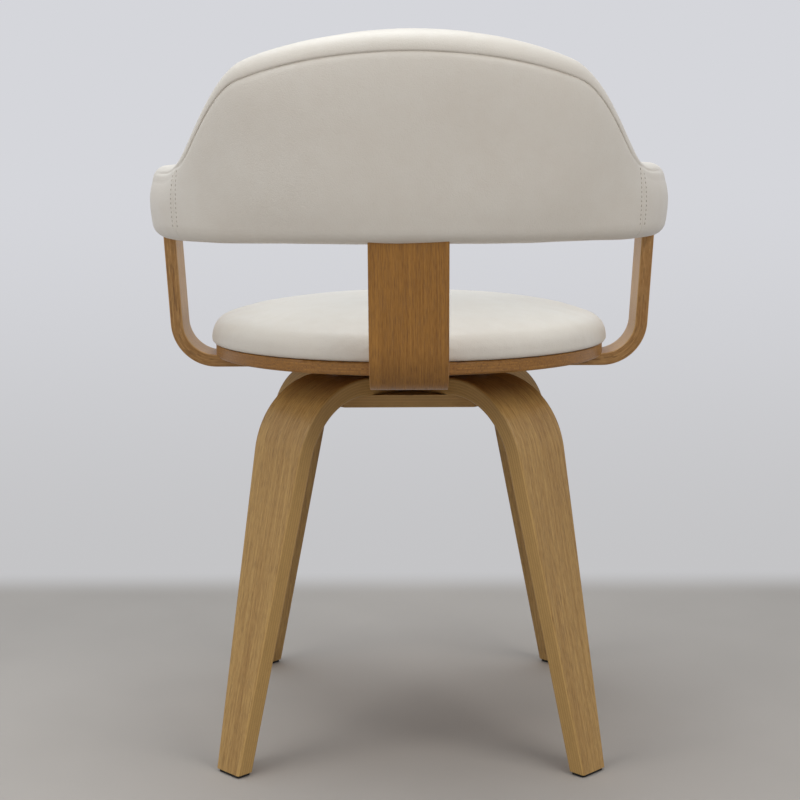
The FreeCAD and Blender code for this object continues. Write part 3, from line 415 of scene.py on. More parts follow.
@dataclass(frozen=True)
class OakPly:
    """Lacquered oak veneer over plies whose edges show as thin light and dark lines."""

    light: Colour
    dark: Colour
    pore: Colour = paint(92, 62, 34)
    glue: Colour = paint(96, 66, 38)
    ply: float = 1.45 * MILLIMETRE
    rough: float = 0.42
    # Share by which the faces are lightened toward the light tone: partly the veneer's own paler tone, partly a
    # painted highlight
    paler_face_and_glint: float = 0.0
    # Share by which the ply edges are lightened toward the light tone, as painted light
    painted_light_edge: float = 0.0
    glue_share: float = 0.62
    pore_share: float = 0.42
    fleck_share: float = 0.30
    odd_ply_share: float = 0.30
    ply_shift: float = 3.7
    waver: Figure = Figure(2.4, 9.0, 0.0, 1.0, 0.016)
    tone: Figure = Figure(1.7, 42.0, 0.0, 2.0, 1.0)
    streak: Figure = Figure(6.0, 330.0, 11.0, 2.0, 1.2)
    fine: Figure = Figure(22.0, 1300.0, 23.0, 1.0, 0.9)
    fleck: Figure = Figure(110.0, 820.0, 31.0, 1.0, 1.1)
    pores: Figure = Figure(60.0, 2100.0, 37.0, 0.0, 1.0)
    fine_height: float = 0.03 * MILLIMETRE
    pore_depth: float = 0.10 * MILLIMETRE
    glue_depth: float = 0.06 * MILLIMETRE

    def material(self, name: str, grain: Grain, thickness: float, seed: float) -> bpy.types.Material:
        """Veneer figure on the faces and plies on the edges, both from where the point lies in the wood.

        Args:
            name: The material's name.
            grain: Where the grain runs.
            thickness: Thickness of the strip or board.
            seed: Shift that gives each piece its own figure.

        Returns:
            The material.
        """
        shader = Shader(name)
        along, across, depth = grain.fields(shader)
        plies = round(thickness / self.ply)
        layer = (depth / self.ply).limited(0.5, plies - 0.5).math("FLOOR")
        shift = layer * self.ply_shift + seed
        side = across + (self.waver.over(shader, along, across, shift) - 0.5) * self.waver.weight
        figures = (self.tone, self.streak, self.fine, self.fleck)
        layers = [figure.over(shader, along, side, shift) for figure in figures]
        body = sum(((part - 0.5) * figure.weight for part, figure in zip(layers, figures)), 0.5)
        streak, fine, fleck = layers[1:]
        pore = self.pores.over(shader, along, side, shift).step(0.60, 0.74)
        wood = shader.mix(body.limited(0.0, 1.0), self.dark, self.light)
        wood = shader.mix(pore * self.pore_share, wood, self.pore)
        wood = shader.mix(fleck.step(0.60, 0.76) * self.fleck_share, wood, self.pore)
        rim, core = 0.35 * self.ply, 0.6 * self.ply
        inside = depth.step(rim, core) * depth.step(thickness - rim, thickness - core)
        # Faces lightened toward the light tone: partly the veneer's own paler tone, partly a painted highlight of
        # glancing light
        wood = shader.mix((1.0 - inside) * self.paler_face_and_glint, wood, self.light)
        # Painted light: the ply edges are lightened toward the light tone to stand in for the light that falls on
        # them
        wood = shader.mix(inside * self.painted_light_edge, wood, self.light)
        odd = layer.math("MODULO", 2.0)
        wood = shader.mix(odd * inside * self.odd_ply_share, wood, self.dark)
        line = ((depth / self.ply).math("FRACT") - 0.5).math("ABSOLUTE").step(0.40, 0.49)
        wood = shader.mix(line * inside * self.glue_share, wood, self.glue)
        height = fine * self.fine_height - pore * self.pore_depth - line * inside * self.glue_depth
        rough = (streak - 0.5) * 0.14 + self.rough + pore * 0.12
        return shader.finish(wood, rough, shader.relief(height), coat_weight=0.12, coat_roughness=0.28,
                             specular_ior_level=0.42)


@dataclass(frozen=True)
class Leather:
    """Coated cover cloth with a fine pebbled grain, a soft sheen and faint handling marks."""

    fresh: Colour = paint(232, 228, 220)
    # Worn tone, also used as painted shade between the pebbles
    worn_and_crevice_shade: Colour = paint(221, 213, 202)
    cell: float = 1.15 * MILLIMETRE
    rough: float = 0.47
    crease_fineness: float = 260.0
    patch_fineness: float = 9.0
    speck_fineness: float = 60.0
    crease_height: float = 0.10 * MILLIMETRE
    pebble_height: float = 0.11 * MILLIMETRE

    def material(self, name: str) -> bpy.types.Material:
        """Pebbles from cell distances, with painted shade in the grooves between them, and slow changes of tone
        and gloss.

        Args:
            name: The material's name.

        Returns:
            The material.
        """
        shader = Shader(name)
        place = shader.place()
        pebble = shader.cells(place, self.cell)
        crease = shader.mottle(place, self.crease_fineness, 3.0, 0.6)
        patch = shader.mottle(place, self.patch_fineness)
        speck = shader.mottle(place, self.speck_fineness)
        tone = ((patch - 0.5) * 0.8 + (speck - 0.5) * 0.5 + 0.35).limited(0.0, 1.0)
        colour = shader.mix(tone, self.fresh, self.worn_and_crevice_shade)
        # Painted shade: the cover darkens toward the worn tone in the grooves between the pebbles, where the bump
        # sinks
        colour = shader.mix(pebble.step(0.55, 0.95) * 0.22, colour, self.worn_and_crevice_shade)
        height = (crease - 0.5) * self.crease_height - pebble * self.pebble_height
        rough = (patch - 0.5) * 0.16 + (speck - 0.5) * 0.10 + self.rough
        return shader.finish(colour, rough, shader.relief(height), coat_weight=0.05, coat_roughness=0.35,
                             specular_ior_level=0.45)


@dataclass(frozen=True)
class Thread:
    """Twisted sewing thread."""

    colour: Colour = paint(202, 193, 179)
    shadow: Colour = paint(160, 151, 137)
    twist_height: float = 0.05 * MILLIMETRE

    def material(self, name: str) -> bpy.types.Material:
        """Thread with a darker twist line.

        Args:
            name: The material's name.

        Returns:
            The material.
        """
        shader = Shader(name)
        x, y, z = shader.place()
        twist = shader.noise(x * 2600.0, y * 2600.0, z * 1900.0, 1.0)
        colour = shader.mix(twist.step(0.42, 0.62), self.shadow, self.colour)
        return shader.finish(colour, 0.7, shader.relief(twist * self.twist_height))


@dataclass(frozen=True)
class Metal:
    """Steel, bare or under a black coat, with fine scratches and a little dirt."""

    colour: Colour
    smudge: Colour
    metallic: float
    rough: float
    scratch: float
    scratch_depth: float = 0.02 * MILLIMETRE

    def material(self, name: str) -> bpy.types.Material:
        """Scratches along X on a smudged ground.

        Args:
            name: The material's name.

        Returns:
            The material.
        """
        shader = Shader(name)
        x, y, z = shader.place()
        scratch = shader.noise(x * 60.0, y * 1500.0, z * 1500.0, 3.0, 0.6)
        smudge = shader.mottle((x, y, z), 45.0, 3.0)
        colour = shader.mix(smudge.step(0.45, 0.75) * 0.6, self.colour, self.smudge)
        rough = (scratch - 0.5) * self.scratch + (smudge - 0.5) * 0.2 + self.rough
        normal = shader.relief(scratch * self.scratch_depth)
        return shader.finish(colour, rough.limited(0.08, 1.0), normal, metallic=self.metallic)


@dataclass(frozen=True)
class SoftBlock:
    """Pressed felt: matt, speckled with small pits whose darkness is painted shade."""

    colour: Colour
    # Colour at the bottom of a pit, as painted shade
    shaded_pit: Colour
    pit_size: float

    def material(self, name: str) -> bpy.types.Material:
        """Pits from cell distances, darkened at their bottoms as painted shade.

        Args:
            name: The material's name.

        Returns:
            The material.
        """
        shader = Shader(name)
        place = shader.place()
        shaded_pit = shader.cells(place, self.pit_size)
        fleck = shader.mottle(place, 90.0)
        # Painted shade: the felt darkens to the pit colour where the bump sinks into each pit
        colour = shader.mix(shaded_pit.step(0.2, 0.9) * 0.7 + (fleck - 0.5) * 0.3, self.shaded_pit, self.colour)
        return shader.finish(colour, 0.9, shader.relief(shaded_pit * (0.3 * self.pit_size)))


class Finishes:
    """The finishes that several sub-assemblies share, made once."""

    def __init__(self) -> None:
        """Make the shared materials."""
        # The legs' oak lightens its ply edges as painted light
        self.oak = OakPly(light=paint(202, 164, 101), dark=paint(158, 118, 63), painted_light_edge=0.8, glue_share=0.45)
        # The arm strips' faces are lightened: partly their own paler tone, partly a painted highlight
        self.arm_oak = OakPly(light=paint(204, 160, 100), dark=paint(150, 105, 52), paler_face_and_glint=0.75)
        self.amber = OakPly(light=paint(180, 128, 58), dark=paint(137, 91, 34))
        self.cover = Leather().material("cream_cover")
        self.thread = Thread().material("seam_thread")
        self.bright = Metal(paint(178, 178, 176), paint(120, 116, 108), 1.0, 0.34, 0.25).material("bright_steel")
        self.black = Metal(paint(34, 34, 35), paint(52, 50, 47), 0.1, 0.48, 0.15).material("black_steel")
        self.felt = SoftBlock(paint(44, 42, 40), paint(22, 21, 20), 0.5 * MILLIMETRE).material("foot_felt")


def dress(frame: dict, names: Sequence[str], material: bpy.types.Material) -> None:
    """Give nodes of the frame a material and report each.

    Args:
        frame: What the frame loader returned.
        names: The nodes.
        material: Their material.
    """
    for name in names:
        slots = frame["nodes"][name].data.materials
        slots.clear()
        slots.append(material)
        log.info("%s wears %s", name, material.name)


# Meshes


def grid_faces(rows: int, columns: int, closed_columns: bool) -> np.ndarray:
    """Quads over a grid of points numbered row by row.

    Args:
        rows: Rows of points.
        columns: Points in a row.
        closed_columns: Whether the last column joins the first.

    Returns:
        An array of quads.
    """
    last = columns if closed_columns else columns - 1
    row, column = np.meshgrid(np.arange(rows - 1), np.arange(last), indexing="ij")
    after = (column + 1) % columns
    quads = np.stack([row * columns + column, row * columns + after,
                      (row + 1) * columns + after, (row + 1) * columns + column], axis=-1)
    return quads.reshape(-1, 4)


def make_piece(name: str, points: np.ndarray, quads: np.ndarray, material: bpy.types.Material,
               weld: float = 0.0) -> bpy.types.Object:
    """A smooth mesh object whose place is in its mesh, with its faces turned outwards.

    Args:
        name: The piece's name.
        points: Places of the vertices.
        quads: Faces, as rows of vertex numbers.
        material: The piece's material.
        weld: Distance under which vertices are merged.

    Returns:
        The object.
    """
    used, faces = np.unique(quads, return_inverse=True)
    mesh = bpy.data.meshes.new(name)
    mesh.from_pydata(points.reshape(-1, 3)[used].tolist(), [], faces.reshape(quads.shape).tolist())
    piece = bpy.data.objects.new(name, mesh)
    bpy.context.scene.collection.objects.link(piece)
    tidy_mesh(mesh, weld)
    mesh.materials.append(material)
    return piece


def tidy_mesh(mesh: bpy.types.Mesh, weld: float) -> None:
    """Merge doubles, drop faces without area, turn faces outwards and shade them smooth.

    Args:
        mesh: The mesh to tidy.
        weld: Distance under which vertices are merged; nothing is merged at zero.
    """
    work = bmesh.new()
    work.from_mesh(mesh)
    if weld:
        bmesh.ops.remove_doubles(work, verts=work.verts, dist=weld)
        bmesh.ops.dissolve_degenerate(work, edges=work.edges, dist=weld)
    bmesh.ops.recalc_face_normals(work, faces=work.faces)
    work.to_mesh(mesh)
    work.free()
    mesh.shade_smooth()


def ripple(points: np.ndarray, length: float, seed: int, waves: int = 7) -> np.ndarray:
    """Slow, repeatable unevenness: a sum of plane sine waves of one length in scattered directions.

    Args:
        points: Places, with the last axis of three.
        length: Wave length in metres.
        seed: Seed of the scatter.
        waves: How many waves are summed.

    Returns:
        Heights of about unit size, one per place.
    """
    scatter = np.random.default_rng(seed)
    directions = scatter.normal(size=(waves, 3))
    directions /= np.linalg.norm(directions, axis=1, keepdims=True)
    stretch = scatter.uniform(0.7, 1.4, waves)
    phases = scatter.uniform(0.0, 2 * math.pi, waves)
    inner = points @ (directions * (2 * math.pi / length / stretch)[:, None]).T + phases
    return np.sin(inner).sum(axis=-1) / math.sqrt(waves)


def smooth_step(share: np.ndarray) -> np.ndarray:
    """Three times the square less twice the cube of a share held between 0 and 1."""
    held = np.clip(share, 0.0, 1.0)
    return held * held * (3 - 2 * held)


@dataclass(frozen=True)
class Span:
    """A stretch of turn from the rear, alike on both sides, over which something comes or goes; in degrees."""

    start: float
    end: float

    def rise(self, turn: np.ndarray) -> np.ndarray:
        """Share that goes from 0 at the start to 1 at the end on a smooth step."""
        return smooth_step((np.degrees(np.abs(turn)) - self.start) / (self.end - self.start))

    def fall(self, turn: np.ndarray) -> np.ndarray:
        """Share that goes from 1 at the start to 0 at the end on a smooth step."""
        return 1 - self.rise(turn)


# The base and the swivel


@dataclass
class Base:
    """Two crossed arches of bent ply, the plate that clamps them, pads and bolts."""

    foot_spread: float = 0.360
    leg_tilt: float = math.radians(12.7)
    height: float = 0.3935
    thickness: float = 0.0185
    bend: float = 0.091
    clamp_thickness: float = 0.0132

    def arch_grain(self, azimuth: float) -> BentGrain:
        """Grain of an arch: it bends down from its flat top at the same distance on both sides.

        Args:
            azimuth: Direction of the arch.

        Returns:
            The grain.
        """
        foot = self.foot_spread / math.sqrt(2) + self.thickness / (2 * math.cos(self.leg_tilt))
        corner = foot - self.height * math.tan(self.leg_tilt)
        start = corner - self.bend * math.tan((math.pi / 2 - self.leg_tilt) / 2)
        return BentGrain(azimuth, start, self.height - self.bend, self.bend, math.pi / 2, self.leg_tilt,
                         Lathe.DOWN, folded=True)

    def build(self, frame: dict, finishes: Finishes) -> None:
        """Dress the arches, the clamp plate, the pads and the fasteners.

        Args:
            frame: What the frame loader returned.
            finishes: The shared finishes.
        """
        for name, azimuth, seed in (("leg_arch_lower", 45, 3.1), ("leg_arch_upper", -45, 17.3)):
            grain = self.arch_grain(math.radians(azimuth))
            dress(frame, [name], finishes.oak.material(name + "_oak", grain, self.thickness, seed))
        underside = self.height - self.thickness - self.clamp_thickness
        plate = finishes.oak.material("clamp_plate_oak", FlatGrain(0.0, underside), self.clamp_thickness, 29.0)
        dress(frame, ["clamp_plate"], plate)
        corners = [end + "_" + side for end in ("front", "rear") for side in ("left", "right")]
        dress(frame, ["foot_pad_" + corner for corner in corners], finishes.felt)
        dress(frame, ["base_bolts", "base_washers", "base_nuts"], finishes.bright)


@dataclass
class Swivel:
    """The two pressed plates, their balls and cage, and the centre pin."""

    def build(self, frame: dict, finishes: Finishes) -> None:
        """Dress the swivel.

        Args:
            frame: What the frame loader returned.
            finishes: The shared finishes.
        """
        dress(frame, ["swivel_lower_plate", "swivel_upper_plate"], finishes.black)
        dress(frame, ["swivel_ball_cage", "swivel_balls", "swivel_centre_pin", "upper_plate_bolts",
                      "seat_tee_nuts", "pad_screws", "strip_screws", "back_bolts", "back_tee_nuts"],
              finishes.bright)


# The strips and boards


@dataclass
class Frame:
    """Seat board, the three rising strips, and the boards inside the padding."""

    underside: float = 0.4104
    board_thickness: float = 0.0132
    strip_thickness: float = 0.013
    bend_start: float = 0.20698
    bend: float = 0.049
    arm_lean: float = 3.3
    rear_lean: float = 8.0

    def strip_grain(self, azimuth: float, lean: float) -> BentGrain:
        """Grain of a rising strip, which starts to bend at the same distance from the axis as the others.

        Args:
            azimuth: Direction of the strip, in degrees.
            lean: Lean of the strip, in degrees.

        Returns:
            The grain.
        """
        height = self.underside - self.strip_thickness + self.bend
        return BentGrain(math.radians(azimuth), self.bend_start, height, self.bend, -math.pi / 2,
                         -math.radians(lean), Lathe.UP)

    def build(self, frame: dict, finishes: Finishes) -> None:
        """Dress the seat board, the strips and the inner boards.

        Args:
            frame: What the frame loader returned.
            finishes: The shared finishes.
        """
        strips = (("arm_strip_left", finishes.arm_oak, 0, self.arm_lean, 41.0),
                  ("arm_strip_right", finishes.arm_oak, 180, self.arm_lean, 53.0),
                  ("rear_strip", finishes.amber, 90, self.rear_lean, 67.0))
        for name, oak, azimuth, lean, seed in strips:
            grain = self.strip_grain(azimuth, lean)
            dress(frame, [name], oak.material(name + "_oak", grain, self.strip_thickness, seed))
        board = finishes.amber.material(
            "seat_board_oak", FlatGrain(0.0, self.underside), self.board_thickness, 71.0)
        dress(frame, ["seat_board", "pad_board", "back_board"], board)


# The cushion


@dataclass
class SeatCushion:
    """Round cushion: a flat underside, a tucked lower edge, a round shoulder and a crowned top."""

    bottom: float = 0.4236
    radius: float = 0.21348
    height: float = 0.0514
    crown: float = 1.020
    shoulder: float = 0.024
    tuck: float = 0.008
    drawn: float = 0.0031
    around: int = 144
    gathers: int = 58
    gather_depth: float = 0.00035
    gather_height: float = 0.006
    gather_band: float = 0.007
    uneven: float = 0.0007

    def profile(self, shrink: float) -> np.ndarray:
        """Radius and height of the half section, from the middle below to the middle above.

        Lines and arcs: out along the underside, up round the tuck, up the side, in round the shoulder, and in
        along the crown, whose centre stands on the axis.

        Args:
            shrink: How far the whole section is drawn in. The side stands out by what the cloth's own pull
                draws in later.

        Returns:
            An array of radius and height pairs.
        """
        low, top = self.bottom, self.bottom + self.height - shrink
        wide = self.radius + self.drawn - shrink
        tuck, shoulder, crown = self.tuck, self.shoulder, self.crown
        inner = wide - shoulder
        centre = top - crown
        shoulder_height = centre + math.sqrt((crown - shoulder) ** 2 - inner ** 2)
        meet = math.asin(inner / (crown - shoulder))
        flat = np.linspace(0.0, wide - tuck, 14)
        lower = np.linspace(-math.pi / 2, 0.0, 8)
        upper = np.linspace(0.0, math.pi / 2 - meet, 12)
        top_arc = np.linspace(meet, 0.0, 26)
        return np.concatenate([
            np.stack([flat, np.full_like(flat, low)], 1),
            np.stack([wide - tuck + tuck * np.cos(lower), low + tuck + tuck * np.sin(lower)], 1)[1:],
            np.stack([inner + shoulder * np.cos(upper), shoulder_height + shoulder * np.sin(upper)], 1),
            np.stack([crown * np.sin(top_arc), centre + crown * np.cos(top_arc)], 1)[1:]])

    def surface(self, shrink: float) -> tuple[np.ndarray, np.ndarray]:
        """The section carried round the axis.

        Args:
            shrink: How far the section is drawn in.

        Returns:
            Points on a grid and its quads.
        """
        section = self.profile(shrink)
        angle = np.linspace(0.0, 2 * math.pi, self.around, endpoint=False)
        ring = np.stack([np.cos(angle), np.sin(angle)], 1)
        flat = section[:, None, 0, None] * ring[None]
        high = np.broadcast_to(section[:, None, 1, None], flat.shape[:2] + (1,))
        return np.concatenate([flat, high], axis=2), grid_faces(len(section), self.around, True)

    def settle(self, mesh: bpy.types.Mesh) -> None:
        """Press the underside flat and draw small gathers into the tucked edge.

        The gathers are cosine waves round the rim that fade upwards from the board and along the rim.

        Args:
            mesh: The swollen mesh.
        """
        points = read_points(mesh)
        reach = np.hypot(points[:, 0], points[:, 1])
        angle = np.arctan2(points[:, 1], points[:, 0])
        rise = points[:, 2] - self.bottom
        band = np.exp(-((rise - self.gather_height) / self.gather_band) ** 2)
        near_rim = band * smooth_step((reach - 0.19) / 0.02)
        gather = np.cos(self.gathers * angle + 2.1 * np.sin(5 * angle)) * (0.55 + 0.45 * np.sin(7 * angle + 1.0))
        push = 1 + near_rim * gather * self.gather_depth / np.maximum(reach, 0.05)
        points[:, :2] *= push[:, None]
        points[:, 2] += smooth_step(rise / 0.03) * ripple(points, 0.16, 5) * self.uneven
        points[:, 2] = np.maximum(points[:, 2], self.bottom)
        write_points(mesh, points)

    def build(self, frame: dict, finishes: Finishes) -> bpy.types.Object:
        """Make the cushion and set it in place of its cover and foam.

        Args:
            frame: What the frame loader returned. Not used.
            finishes: The shared finishes.

        Returns:
            The cushion.
        """
        points, quads = self.surface(COVER)
        piece = make_piece("seat_cushion", points, quads, finishes.cover, weld=WELD)
        Air(still_below=self.bottom + 0.004).fill(piece)
        self.settle(piece.data)
        smooth = piece.modifiers.new("smooth", "SUBSURF")
        smooth.levels = smooth.render_levels = 1
        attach(piece, "seat")
        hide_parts("seat_cover", "seat_foam")
        log.info("%s stands for the seat's cover and foam", piece.name)
        return piece


def read_points(mesh: bpy.types.Mesh) -> np.ndarray:
    """The mesh's vertices as an array of places."""
    flat = np.empty(len(mesh.vertices) * 3, np.float32)
    mesh.vertices.foreach_get("co", flat)
    return flat.reshape(-1, 3).astype(float)


def write_points(mesh: bpy.types.Mesh, points: np.ndarray) -> None:
    """Put an array of places into the mesh's vertices."""
    mesh.vertices.foreach_set("co", points.astype(np.float32).ravel())
    mesh.update()


@dataclass(frozen=True)
class Air:
    """Air that fills a cushion's cloth: the remesh, the cloth, and how far a point may go."""

    still_below: float
    voxel: float = 0.005
    pressure: float = 4.0
    cap: float = 0.0022
    mass: float = 0.3
    stretch: float = 15.0
    bending: float = 0.6
    quality: int = 6
    steps: int = 20

    def fill(self, piece: bpy.types.Object) -> None:
        """Remesh a closed piece and let the pressure fill its cloth, with each point's way held to the cap.

        Args:
            piece: The piece, which keeps its name and material.
        """
        scene = bpy.context.scene
        remesh = piece.modifiers.new("remesh", "REMESH")
        remesh.mode, remesh.voxel_size, remesh.use_smooth_shade = "VOXEL", self.voxel, True
        apply_shape(piece)
        start = read_points(piece.data)
        held = piece.vertex_groups.new(name="held")
        held.add(np.flatnonzero(start[:, 2] < self.still_below).tolist(), 1.0, "REPLACE")
        cloth = piece.modifiers.new("cloth", "CLOTH")
        cloth.settings.quality = self.quality
        cloth.settings.mass = self.mass
        cloth.settings.tension_stiffness = cloth.settings.compression_stiffness = self.stretch
        cloth.settings.bending_stiffness = self.bending
        cloth.settings.use_pressure = True
        cloth.settings.uniform_pressure_force = self.pressure
        cloth.settings.vertex_group_mass = held.name
        cloth.settings.effector_weights.gravity = 0.0
        cloth.point_cache.frame_start, cloth.point_cache.frame_end = 1, self.steps
        for step in range(1, self.steps + 1):
            scene.frame_set(step)
        apply_shape(piece)
        way = read_points(piece.data) - start
        length = np.linalg.norm(way, axis=1, keepdims=True)
        write_points(piece.data, start + way * np.minimum(1.0, self.cap / np.maximum(length, 1e-9)))
        piece.vertex_groups.clear()
        scene.frame_set(1)


def apply_shape(piece: bpy.types.Object) -> None:
    """Turn the piece's modifiers into its mesh, and leave none on it.

    Args:
        piece: The piece.
    """
    shown = piece.evaluated_get(bpy.context.evaluated_depsgraph_get())
    mesh = bpy.data.meshes.new_from_object(shown)
    old = piece.data
    mesh.materials.clear()
    for material in old.materials:
        mesh.materials.append(material)
    piece.modifiers.clear()
    piece.data = mesh
    bpy.data.meshes.remove(old)
    mesh.name = piece.name
    mesh.shade_smooth()


# The padded back


@dataclass
class Seam:
    """A line where two panels meet: how deep and wide it draws the cover in, and its small gathers."""

    depth: float = 0.0010
    narrow: float = 0.0007
    roll: float = 0.0004
    wide: float = 0.0060
    gather: float = 0.00020
    pitch: float = 0.0085

    def drawn_in(self, distance: np.ndarray, along: np.ndarray) -> np.ndarray:
        """How far the cover is drawn in: a narrow bell, a wide soft roll and gathers that fade from the seam.

        The bell is wider on the side of positive distances, where the panel rolls into the seam.

        Args:
            distance: Distance from the seam.
            along: Distance along it.

        Returns:
            Depth under the plain surface.
        """
        near = np.abs(distance)
        width = np.where(distance > 0, 3 * self.narrow, self.narrow)
        bell = self.depth * np.exp(-(near / width) ** 2)
        roll = self.roll * np.exp(-near / self.wide)
        waves = self.gather * np.cos(2 * math.pi * along / self.pitch + 3 * np.sin(along * 31.0))
        return bell + roll + waves * np.exp(-near / self.wide) * (1 - np.exp(-(near / self.narrow) ** 2))


def section_run(**shares: Union[float, np.ndarray]) -> np.ndarray:
    """One run of points of the back's section.

    Args:
        shares: Of depth, of what the top rounding adds to it, of rise, of what the rounding and the height add
            to it, and of the way out of the surface in depth and in rise. What isn't given is zero.

    Returns:
        A row for each of the seven.
    """
    names = ("depth", "round_depth", "rise", "round_rise", "tall_rise", "out", "up")
    return np.stack(np.broadcast_arrays(*(shares.get(name, 0.0) for name in names)))


@dataclass
class Upholstery:
    """The padded back: a slab with round edges that follows half an ellipse and two straight wings."""

    half_width: float = 0.2675
    reach: float = 0.25108
    centre: float = 0.027
    bottom: float = 0.537
    thickness: float = 0.050
    crest: float = 0.1904
    wing: float = 0.074
    straight: float = 0.072
    crest_end: Span = Span(33.3, 65.0)
    crown_share: float = 0.344
    crest_round: float = 0.0175
    wing_round: float = 0.018
    round_change: Span = Span(0.0, 50.0)
    bottom_round: float = 0.017
    arm_lean: float = math.radians(3.3)
    rear_lean: float = math.radians(8.0)
    seam_turn: float = math.radians(58.0)
    seam_reach: float = 0.255
    seam_tilt: float = 0.41
    seam_climb: float = 0.0145
    seam_top: float = 0.066
    tilt_fade: Span = Span(6.0, 13.0)
    climb_run: Span = Span(50.0, 61.0)
    seam_fade: Span = Span(65.0, 77.0)
    upright_share: float = 0.7
    fullness: Span = Span(35.0, 65.0)
    dome: float = 0.0042
    dome_fade: Span = Span(30.0, 51.0)
    dome_power: float = 3.5
    inner_swell: float = 0.0012
    inner_dome: float = 0.0034
    sway_terms: tuple[float, ...] = (-0.0056, -0.0005, 0.0022, 0.0014)
    sway_slope: float = 0.40
    sway_reach: float = 0.35
    seam: Seam = field(default_factory=Seam)

    def __post_init__(self) -> None:
        """Lay out the stations along the back and the shares round its section."""
        self.lay_stations()
        self.lay_section()

    def lay_stations(self) -> None:
        """Turn, forward run, swing and side of each station from the right wing's end to the left's.

        Stations stand close together at the two upright seams. A turn is measured from the rear, a forward run
        from where the wings start, and a swing is the turn of a wing's round end about its middle.
        """
        cap = np.radians([90, 84, 75, 65, 55, 45, 35, 25, 15, 7])
        run = np.linspace(1.0, 0.0, 9)[1:-1] * self.straight
        step = math.radians(1.5)
        spread = np.arange(-math.pi / 2, math.pi / 2 + step / 2, step)
        beside = np.array([0.35, 0.8, 1.4, 2.1, 3.0, 4.2, 6.0]) * MILLIMETRE / self.seam_reach
        near = np.concatenate([-beside[::-1], [0.0], beside])
        seams = np.concatenate([near - self.seam_turn, near + self.seam_turn])
        spread = spread[np.min(np.abs(spread[:, None] - seams[None]), axis=1) > math.radians(0.45)]
        turns = np.sort(np.concatenate([spread, seams]))
        quarter = math.pi / 2
        ends = len(cap) + 1 + len(run)
        self.turn = np.concatenate([np.full(ends, -quarter), turns, np.full(ends, quarter)])
        forward = np.concatenate([np.full(len(cap) + 1, self.straight), run])
        self.forward = np.concatenate([forward, np.zeros(len(turns)), forward[::-1]])
        swing = np.concatenate([cap, np.zeros(1 + len(run))])
        self.swing = np.concatenate([swing, np.zeros(len(turns)), swing[::-1]])
        place = self.frames(self.turn)[0] - np.outer(self.forward, (0.0, 1.0, 0.0))
        steps = np.linalg.norm(np.diff(place, axis=0), axis=1)
        self.along = np.concatenate([[0.0], np.cumsum(steps)])

    def lay_section(self) -> None:
        """Shares that place each point of the section for any height and top rounding.

        The section runs up the outer side, over the top, down the inner side and back along the bottom, as arcs
        of the two roundings and straight runs between them. The inner half mirrors the outer one, so that the
        two close at the wings' ends.
        """
        low, thick = self.bottom_round, self.thickness
        quarter = np.radians([0, 15, 30, 45, 60, 75])
        sine, cosine = np.sin(quarter), np.cos(quarter)
        side = np.concatenate([np.linspace(0.0, 0.86, 22), [0.90, 0.93, 0.955, 0.972, 0.984, 0.993]])
        top = np.array([0.0, 0.2, 0.42, 0.58, 0.8])
        top_angle = np.radians(np.concatenate([[0.0, 1.5, 3.5, 6.5, 10.0], np.arange(13.5, 88, 3.5)]))
        top_sine, top_cosine = np.sin(top_angle), np.cos(top_angle)
        fall_angle = math.pi / 2 - np.append(top_angle, math.pi / 2)[:0:-1]
        fall_sine, fall_cosine = np.sin(fall_angle), np.cos(fall_angle)
        inner = 1 - np.append(side, 1.0)[:0:-1]
        base = np.array([0.0, 0.22, 0.42, 0.58, 0.78])
        runs = [
            section_run(depth=low - low * sine, rise=low - low * cosine, out=-sine, up=-cosine),
            section_run(rise=low * (1 - side), round_rise=-side, tall_rise=side, out=-1.0),
            section_run(round_depth=1 - top_cosine, round_rise=top_sine - 1, tall_rise=1.0, out=-top_cosine,
                        up=top_sine),
            section_run(depth=top * thick, round_depth=1 - 2 * top, tall_rise=1.0, up=1.0),
            section_run(depth=thick, round_depth=fall_sine - 1, round_rise=fall_cosine - 1, tall_rise=1.0,
                        out=fall_sine, up=fall_cosine),
            section_run(depth=thick, rise=low * inner, round_rise=inner - 1, tall_rise=1 - inner, out=1.0),
            section_run(depth=thick - low + low * cosine, rise=low - low * sine, out=cosine, up=-sine),
            section_run(depth=thick - low + (2 * low - thick) * base, up=-1.0)]
        self.shares = np.concatenate(runs, axis=1)
        ends = np.cumsum([run.shape[1] for run in runs])
        self.arc_low, self.side = slice(0, ends[0]), slice(ends[0], ends[1])
        self.arc_top, self.inner = slice(ends[1], ends[2]), slice(ends[4], ends[5])
        self.side_share, self.inner_share = side, inner
        self.top_angle = top_angle
        self.low_angle = quarter

    def frames(self, turn: np.ndarray) -> tuple[np.ndarray, np.ndarray, np.ndarray]:
        """Place on the outer face's bottom edge, the way up the face and the way out of it.

        The place runs on half an ellipse. The face leans by its rear lean behind the sitter and by the arm lean
        at the wings, with the tangent of the lean following how far the face looks to the rear.

        Args:
            turn: Turns from the rear.

        Returns:
            Three arrays of vectors.
        """
        place = np.stack([self.half_width * np.sin(turn), self.centre + self.reach * np.cos(turn),
                          np.full_like(turn, self.bottom)], -1)
        level = np.stack([self.reach * np.sin(turn), self.half_width * np.cos(turn), np.zeros_like(turn)], -1)
        level /= np.linalg.norm(level, axis=-1, keepdims=True)
        side, rear = math.tan(self.arm_lean), math.tan(self.rear_lean)
        lean = np.arctan(side + (rear - side) * np.maximum(level[..., 1], 0.0))[..., None]
        upright = np.array([0.0, 0.0, 1.0])
        return place, level * np.sin(lean) + upright * np.cos(lean), level * np.cos(lean) - upright * np.sin(lean)

